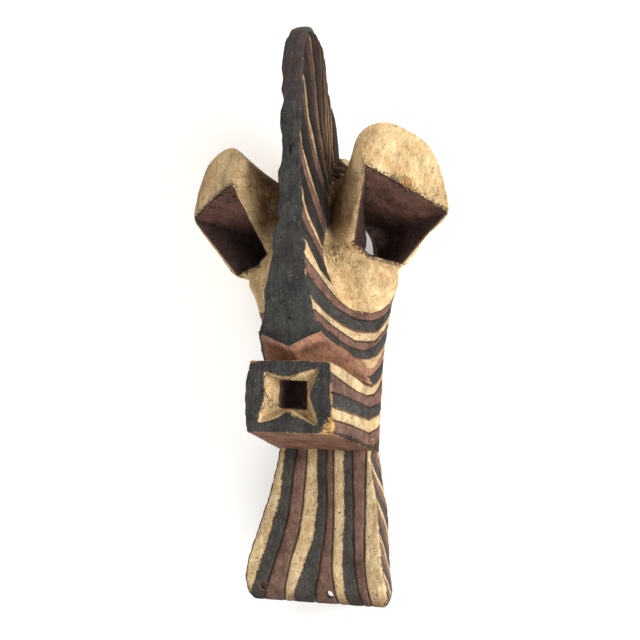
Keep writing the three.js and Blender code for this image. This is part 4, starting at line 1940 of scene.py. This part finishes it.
def ragged_edge_group() -> bpy.types.NodeTree:
    """Builds the share of a painted stretch, with a border as uneven as a brush leaves it.

    Returns:
        The node group.
    """
    inputs = {"Vector": "Vector", "Distance": "Float", "Rag": "Float", "Blur": "Float"}
    graph, given, out = new_group("ragged_edge", inputs, {"Mask": "Float"})
    noise = graph.minus(graph.noise(given["Vector"], 210, 4, 0.6), 0.5)
    uneven = graph.times(noise, graph.times(given["Rag"], 3.2))
    value = graph.math("DIVIDE", graph.plus(given["Distance"], uneven), given["Blur"])
    graph.feed(out.inputs["Mask"], graph.step(value, -1, 1))
    return graph.tree


@dataclass(frozen=True)
class Paint:
    """One paint: its colour, the shade it mottles to, and its flecks."""

    main: Color
    shade: Color
    fleck: Color
    mottle: float = 0.5
    flecks: float = 0.5

    def lay(self, graph: Graph, group: bpy.types.NodeTree, vector: Socket, stroke: Socket) -> bpy.types.Node:
        """Places this paint in a material.

        Args:
            graph: the material's graph.
            group: the brushed paint.
            vector: where the mottling is read.
            stroke: where the brush strokes are read.

        Returns:
            The paint's node.
        """
        return graph.use(
            group,
            vector=vector,
            stroke=stroke,
            main=self.main,
            shade=self.shade,
            fleck=self.fleck,
            mottle=self.mottle,
            flecks=self.flecks,
        )


@dataclass(frozen=True)
class MaskFinish:
    """Paints, bare wood and wear of the mask's outside, and the colours of its painted shade and painted light."""

    pale: Paint = Paint(paint(251, 222, 170), paint(202, 160, 108), paint(106, 76, 52), 0.85, 0.7)
    band_pale: Paint = Paint(paint(246, 221, 174), paint(196, 158, 110), paint(100, 72, 50), 0.8, 0.75)
    red: Paint = Paint(paint(150, 113, 97), paint(90, 65, 57), paint(190, 146, 118), 0.85, 0.5)
    black: Paint = Paint(paint(82, 82, 78), paint(44, 42, 41), paint(150, 138, 120), 0.9, 0.4)
    # Lit copy of the earth paint, for the nose's underside and the band beside the box top: painted light.
    earth_lit: Paint = Paint(paint(216, 162, 128), paint(150, 106, 84), paint(236, 186, 140), 0.8, 0.5)
    earth: Paint = Paint(paint(152, 110, 88), paint(102, 70, 56), paint(198, 148, 108), 0.8, 0.5)
    ceiling: Paint = Paint(paint(140, 98, 85), paint(88, 66, 54), paint(170, 124, 106), 0.95, 0.5)
    deep: Paint = Paint(paint(128, 102, 95), paint(86, 68, 63), paint(140, 114, 106), 0.7, 0.3)
    wood_light: Color = paint(250, 208, 134)
    wood_dark: Color = paint(210, 150, 82)
    worn: Color = paint(198, 156, 104)
    # Dark dirt for seams, cracks, outlines, pits, chips and soot, also multiplied in as painted shade in the hollows.
    dirt_and_shade: Color = paint(58, 42, 33)
    ochre: Color = paint(134, 98, 62)
    back: Color = paint(100, 74, 46)
    crust: Color = paint(124, 94, 58)
    # Pale dabs on the crusty patches: partly cream paint, partly painted highlight.
    dab_highlight: Color = paint(246, 218, 160)
    shade: Color = paint(88, 72, 66)
    gloom: Color = paint(128, 108, 96)
    # Multiplied in as painted shade on the beard's left and lower faces.
    grime: Color = paint(120, 104, 94)
    tip: Color = paint(90, 70, 68)
    dust: Color = paint(176, 150, 128)
    edge: Color = paint(116, 80, 70)
    inner_light: Color = paint(150, 110, 78)
    inner_dark: Color = paint(94, 66, 46)
    roughness: float = 0.72
    specular: float = 0.2
    bump: float = 0.8
    bump_height: float = 0.0019

    def build(self) -> bpy.types.Material:
        """Builds the painted wood's material.

        Returns:
            The material.
        """
        material = bpy.data.materials.new("painted_wood")
        material.use_nodes = True
        graph = Graph(material.node_tree)
        shader = material.node_tree.nodes["Principled BSDF"]
        coat = Coat(self, graph)
        coat.paint_bands()
        coat.paint_forms()
        coat.wear_edges()
        coat.break_chips()
        coat.soil()
        coat.bare_inside()
        graph.feed(shader.inputs["Base Color"], coat.color)
        graph.feed(shader.inputs["Roughness"], coat.roughness())
        graph.feed(shader.inputs["Specular IOR Level"], self.specular)
        graph.feed(shader.inputs["Normal"], coat.bumps())
        return material


class Coat:
    """The material's colour while each layer of paint, wear, dirt, painted shade and painted highlight goes over the
    ones before it.
    """

    def __init__(self, finish: MaskFinish, graph: Graph) -> None:
        """Places the paints and what the layers share.

        Args:
            finish: the paints and colours.
            graph: the material's graph.
        """
        self.finish, self.graph = finish, graph
        brushed, self.bare, self.ragged = brushed_paint_group(), bare_wood_group(), ragged_edge_group()
        self.place = graph.node("ShaderNodeTexCoord").outputs["Object"]
        self.stroke = graph.node("ShaderNodeAttribute", attribute_name="stroke").outputs["Vector"]
        names = ("pale", "band_pale", "red", "black", "earth", "earth_lit", "ceiling", "deep")
        self.paints = {name: getattr(finish, name).lay(graph, brushed, self.place, self.stroke) for name in names}
        self.broad = graph.noise(self.place, 60, 4, 0.6)
        fine = graph.times(graph.minus(graph.noise(self.place, 300, 5, 0.72), 0.5), 7.5)
        self.sway = graph.plus(fine, graph.times(graph.minus(graph.noise(self.place, 95, 2), 0.5), 3.5))
        self.color = self.tone("band_pale")

    def tone(self, name: str) -> Socket:
        """One paint's colour."""
        return self.paints[name].outputs["Color"]

    def cover(self, share: object, color: object, blend: str = "MIX") -> None:
        """Lays a share of a colour over what is there."""
        self.color = self.graph.mix(share, self.color, color, blend)

    def inside(self, name: str, rag: float = 0.6, blur: float = 0.35) -> Socket:
        """Share of a painted stretch, from the note with the distances inside it."""
        distance = self.graph.note(name)
        return self.graph.use(self.ragged, vector=self.place, distance=distance, rag=rag, blur=blur).outputs["Mask"]

    def patchy(self, scales: Point, scale: float, detail: float, rough: float) -> Socket:
        """Noise stretched along the mask."""
        return self.graph.noise(self.graph.stretched(self.place, scales), scale, detail, rough)

    def paint_bands(self) -> None:
        """Pale, red and black bands with dark grooves between them, duller behind, and cracks."""
        graph, finish = self.graph, self.finish
        band, width = graph.note("band"), graph.note("band_width")
        swayed = graph.plus(band, graph.math("DIVIDE", self.sway, width))
        third = graph.math("FRACT", graph.math("DIVIDE", swayed, 3.0))
        self.cover(graph.math("GREATER_THAN", third, 1 / 3), self.tone("red"))
        self.cover(graph.math("GREATER_THAN", third, 2 / 3), self.tone("black"))
        split = graph.size(graph.minus(graph.math("FRACT", band), 0.5))
        gap = graph.times(graph.minus(0.5, split), width)
        seam = graph.times(graph.step(gap, 0.3, 1.7, 1, 0), graph.note("seam"))
        turn = graph.math("FRACT", graph.math("DIVIDE", graph.plus(band, 0.5), 3.0))
        by_pale = graph.math("LESS_THAN", turn, 1 / 3)
        self.cover(graph.times(seam, 0.9), graph.mix(by_pale, finish.dirt_and_shade, finish.ochre))
        self.cover(graph.step(band, -14.0, -9.5, 0.6, 0), finish.back)
        cracks = graph.noise(graph.stretched(self.stroke, (5.2, 1.2, 1)), 1, 5, 0.75)
        self.cover(graph.step(cracks, 0.58, 0.64, 0, 0.75), finish.dirt_and_shade)

    def paint_forms(self) -> None:
        """Paint of the cheeks, the underside, the nose and crest, the star, the mouth and the eyes, with a lighter copy
        of the earth paint under the nose as painted light.
        """
        graph, finish = self.graph, self.finish
        self.cover(self.inside("pale", 0.8), self.tone("pale"))
        self.cover(self.inside("earth"), self.tone("earth"))
        # Painted light: the nose's underside and the band beside the box top get the lit copy of the earth paint.
        self.cover(self.inside("notch"), self.tone("earth_lit"))
        self.cover(self.inside("face", 0.5), self.tone("black"))
        axes = graph.node("ShaderNodeSeparateXYZ")
        graph.feed(axes.inputs[0], self.place)
        top = graph.step(axes.outputs[1], 0.2, 0.29, 0, 0.75)
        self.cover(graph.times(top, graph.step(self.broad, 0.4, 0.56, 0.3, 1)), finish.tip)
        self.cover(self.inside("star"), self.tone("pale"))
        edge = graph.size(graph.plus(graph.note("star"), graph.times(self.sway, 0.35)))
        broken = graph.step(graph.noise(self.place, 150, 3), 0.4, 0.55, 0.2, 1)
        self.cover(graph.times(graph.step(edge, 0.2, 0.9, 0.85, 0), broken), finish.dirt_and_shade)
        self.cover(self.inside("throat"), self.tone("deep"))
        socket = graph.mix(self.inside("ceiling"), self.tone("deep"), self.tone("ceiling"))
        self.cover(self.inside("socket", 0.4), socket)

    def wear_edges(self) -> None:
        """Bare wood on the ridges, dark rims round the eyes, and pits along the brows."""
        graph, finish = self.graph, self.finish
        worn = graph.plus(graph.note("ridge"), graph.times(graph.noise(self.place, 70, 5, 0.7), 1.8))
        worn = graph.times(graph.step(worn, 1.38, 1.5), graph.step(graph.note("socket"), -1.0, 0.5, 1, 0))
        self.cover(graph.times(worn, 0.85), finish.worn)
        rim = graph.step(graph.size(graph.plus(graph.note("socket"), 0.7)), 0.4, 1.4, 0.95, 0)
        brow = graph.step(graph.note("ceiling"), -2.5, -1.0)
        rim = graph.times(rim, graph.step(self.broad, 0.3, 0.5, 0.55, 1))
        self.cover(rim, graph.mix(brow, finish.edge, finish.dirt_and_shade))
        pits = graph.step(graph.noise(self.place, 380, 4, 0.75), 0.45, 0.52)
        pits = graph.times(pits, graph.step(graph.note("ceiling"), -6.9, -3.2))
        self.cover(graph.times(pits, graph.step(graph.note("socket"), 0, 0.6, 0.85, 0)), finish.dirt_and_shade)

    def break_chips(self) -> None:
        """Chips with bare wood in them and a dark line round them."""
        graph, finish = self.graph, self.finish
        wood = graph.use(self.bare, vector=self.place, light=finish.wood_light, dark=finish.wood_dark)
        crumbs = graph.step(graph.noise(self.place, 420, 4, 0.7), 0.4, 0.47)
        uneven = graph.times(graph.minus(graph.noise(self.place, 360, 5, 0.75), 0.52), 26)
        flaked = graph.plus(graph.note("chip"), uneven)
        self.cover(graph.step(flaked, -0.3, 0.3), graph.mix(crumbs, finish.ochre, wood.outputs["Color"]))
        self.cover(graph.step(graph.size(graph.plus(flaked, 0.9)), 0.3, 1.1, 0.8, 0), finish.dirt_and_shade)

    def soil(self) -> None:
        """Painted shade, partly dirt, in the hollows, the crusty patches with pale dabs that are partly painted
        highlights, painted shade in the crevices, soft painted shadows, painted shade on the beard's left and lower
        faces, dust and soot.
        """
        graph, finish = self.graph, self.finish
        blotches = graph.step(graph.noise(self.place, 90, 3, 0.6), 0.25, 0.7, 0.35, 0.85)
        # Painted shade, partly dirt, multiplied into the broad hollows in blotches.
        self.cover(graph.times(graph.step(graph.note("stand"), -1.2, -6.0), blotches), finish.dirt_and_shade, "MULTIPLY")
        crusty = graph.step(self.patchy((420, 170, 420), 1, 4, 0.7), 0.41, 0.5)
        crusty = graph.times(crusty, graph.step(graph.note("crust"), -2, 16))
        self.cover(graph.times(crusty, 0.8), finish.crust)
        # Pale dabs on the crusty patches, partly cream paint and partly painted highlight.
        highlight_dabs = graph.step(self.patchy((300, 190, 300), 1.3, 3, 0.6), 0.54, 0.6)
        self.cover(graph.times(highlight_dabs, graph.step(graph.note("crust"), 0, 14)), finish.dab_highlight)
        # Painted shade in the crevice behind the brows and deep in the left pocket.
        self.cover(graph.times(graph.step(graph.note("crevice"), 0, 11), 0.93), finish.shade)
        thin = graph.step(graph.noise(self.stroke, 1.2, 4, 0.7), 0.25, 0.6, 0.8, 1)
        self.cover(graph.times(graph.note("gloom"), thin), finish.gloom, "MULTIPLY")
        # Painted shade, multiplied in on the beard's left- and down-facing faces.
        self.cover(graph.note("grime"), finish.grime, "MULTIPLY")
        lines = graph.size(graph.minus(graph.noise(self.place, 48, 2, 0.5), 0.5))
        self.cover(graph.times(graph.step(lines, 0.004, 0.02, 0.8, 0), self.inside("socket")), finish.dirt_and_shade)
        self.cover(graph.note("dust"), finish.dust)
        soot = graph.step(self.patchy((38, 18, 38), 1, 5, 0.7), 0.42, 0.72, 0, 0.55)
        self.cover(soot, finish.dirt_and_shade, "MULTIPLY")

    def bare_inside(self) -> None:
        """Bare wood in the hollow."""
        finish = self.finish
        wood = self.graph.use(self.bare, vector=self.place, light=finish.inner_light, dark=finish.inner_dark)
        self.cover(self.inside("inside", 0.5), wood.outputs["Color"])

    def roughness(self) -> Socket:
        """Finds how dull the surface is, less so on the crest and the nose.

        Returns:
            The roughness.
        """
        graph = self.graph
        rough = graph.plus(self.finish.roughness, graph.times(graph.noise(self.place, 260, 2), 0.2))
        return graph.minus(rough, graph.times(self.inside("face", 0.5), 0.2))

    def bumps(self) -> Socket:
        """Raises brush strokes and rough paint, more on the crusty patches.

        Returns:
            The surface's direction.
        """
        graph = self.graph
        rough = graph.times(self.patchy((330, 200, 330), 1, 4, 0.65), 3.0)
        rough = graph.times(rough, graph.step(graph.note("crust"), -4, 14, 0.5, 1.9))
        bump = graph.node("ShaderNodeBump")
        graph.feed(bump.inputs["Height"], graph.plus(self.paints["pale"].outputs["Height"], rough))
        graph.feed(bump.inputs["Strength"], self.finish.bump)
        graph.feed(bump.inputs["Distance"], self.finish.bump_height)
        return bump.outputs["Normal"]


@dataclass(frozen=True)
class Lamp:
    """Soft square lamp: its place and side in metres, its power in watts and its colour."""

    name: str
    place: Point
    side: float
    power: float
    color: Point = (1.0, 1.0, 1.0)


@dataclass
class Studio:
    """Floor, lights and camera."""

    eye: Point = (0.5343, -0.0451, 1.5390)
    right: Point = (0.9397, 0.0093, -0.3418)
    up: Point = (0.0012, 0.9995, 0.0303)
    picture: float = 640
    focal_px: float = 1376
    sensor: float = 36
    floor_side: float = 16
    floor_color: Color = (0.93, 0.92, 0.9, 1)
    floor_roughness: float = 0.9
    floor_glow: Color = (1, 0.98, 0.94, 1)
    floor_strength: float = 0.32
    aim: Point = (0, 0, 0.05)
    lamps: tuple[Lamp, ...] = (
        Lamp("key", (1.95, 0.45, 1.0), 0.8, 50),
        Lamp("fill", (0.3, -1.9, 1.2), 1.6, 33),
        Lamp("side", (-0.9, 1.5, 1.2), 1.2, 14, (1.0, 0.98, 0.95)),
    )
    glint: Point = (366, 241, 16)
    glint_power: float = 22
    glint_color: Point = (0.9, 0.95, 1.0)
    glint_blend: float = 0.4
    glint_size: float = 0.01
    surroundings: float = 0.34

    def build_floor(self) -> None:
        """Lays a plain pale floor under the mask."""
        bpy.ops.object.select_all(action="DESELECT")
        bpy.ops.mesh.primitive_plane_add(size=self.floor_side)
        floor = bpy.context.object
        floor.name = "floor"
        material = bpy.data.materials.new("pale_floor")
        material.use_nodes = True
        shader = material.node_tree.nodes["Principled BSDF"]
        shader.inputs["Base Color"].default_value = self.floor_color
        shader.inputs["Roughness"].default_value = self.floor_roughness
        shader.inputs["Emission Color"].default_value = self.floor_glow
        shader.inputs["Emission Strength"].default_value = self.floor_strength
        floor.data.materials.append(material)
        floor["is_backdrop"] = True

    def add(self, name: str, data: bpy.types.ID, place: Point) -> bpy.types.Object:
        """Puts a lamp or the camera in the scene.

        Args:
            name: the object's name.
            data: the lamp or the camera.
            place: where it stands, in metres.

        Returns:
            The object.
        """
        obj = bpy.data.objects.new(name, data)
        bpy.context.collection.objects.link(obj)
        obj.location = place
        return obj

    def add_lamp(self, lamp: Lamp) -> None:
        """Adds a soft square lamp that points at the mask.

        Args:
            lamp: the lamp.
        """
        data = bpy.data.lights.new(lamp.name, "AREA")
        data.size = lamp.side
        data.energy = lamp.power
        data.color = lamp.color
        obj = self.add(lamp.name, data, lamp.place)
        obj.rotation_euler = (Vector(self.aim) - Vector(lamp.place)).to_track_quat("-Z", "Y").to_euler()

    def axes(self) -> tuple[Vector, Vector, Vector]:
        """Finds the camera's directions.

        Returns:
            Its right, up and back directions.
        """
        right = Vector(self.right).normalized()
        back = right.cross(Vector(self.up)).normalized()
        return right, back.cross(right), back

    def add_glint(self) -> None:
        """Adds a narrow lamp beside the camera that reaches through the eye to the floor under the mask."""
        right, up, back = self.axes()
        across, down, reach = self.glint
        middle = self.picture / 2
        aim = -back + right * ((across - middle) / self.focal_px) - up * ((down - middle) / self.focal_px)
        lamp = bpy.data.lights.new("glint", "SPOT")
        lamp.energy = self.glint_power
        lamp.color = self.glint_color
        lamp.spot_size = 2 * reach / self.focal_px
        lamp.spot_blend = self.glint_blend
        lamp.shadow_soft_size = self.glint_size
        self.add("glint", lamp, self.eye).rotation_euler = aim.to_track_quat("-Z", "Y").to_euler()

    def add_camera(self) -> None:
        """Adds the camera that looks down on the mask."""
        camera = bpy.data.cameras.new("camera")
        camera.sensor_width = self.sensor
        camera.lens = self.focal_px * self.sensor / self.picture
        obj = self.add("camera", camera, self.eye)
        turn = Matrix(self.axes()).transposed().to_4x4()
        obj.matrix_world = Matrix.Translation(Vector(self.eye)) @ turn
        bpy.context.scene.camera = obj

    def build(self) -> None:
        """Sets the floor, the lamps, the soft surroundings and the camera."""
        bpy.context.scene.view_settings.view_transform = "Standard"
        self.add_glint()
        self.build_floor()
        for lamp in self.lamps:
            self.add_lamp(lamp)
        world = bpy.data.worlds.new("soft")
        bpy.context.scene.world = world
        world.use_nodes = True
        sky = world.node_tree.nodes["Background"]
        sky.inputs["Color"].default_value = (1.0, 1.0, 1.0, 1)
        sky.inputs["Strength"].default_value = self.surroundings
        self.add_camera()


def main() -> None:
    """Builds the mask and its studio."""
    logging.basicConfig(level=logging.INFO)
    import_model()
    cad_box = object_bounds()
    piece, relief, surface, shape = Carving().build()
    PaintMap(relief, surface).build(piece, shape)
    low, high = (np.array(corner) for corner in cad_box)
    set_coords(piece, np.clip(coords(piece) * MM, low, high))
    only(piece)
    bpy.ops.object.shade_smooth()
    piece.data.materials.clear()
    piece.data.materials.append(MaskFinish().build())
    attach(piece, "root")
    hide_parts("carved_mask")
    LOG.info("mask: %d triangles", len(piece.data.polygons))
    Studio().build()
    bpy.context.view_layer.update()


if __name__ == "__main__":
    main()
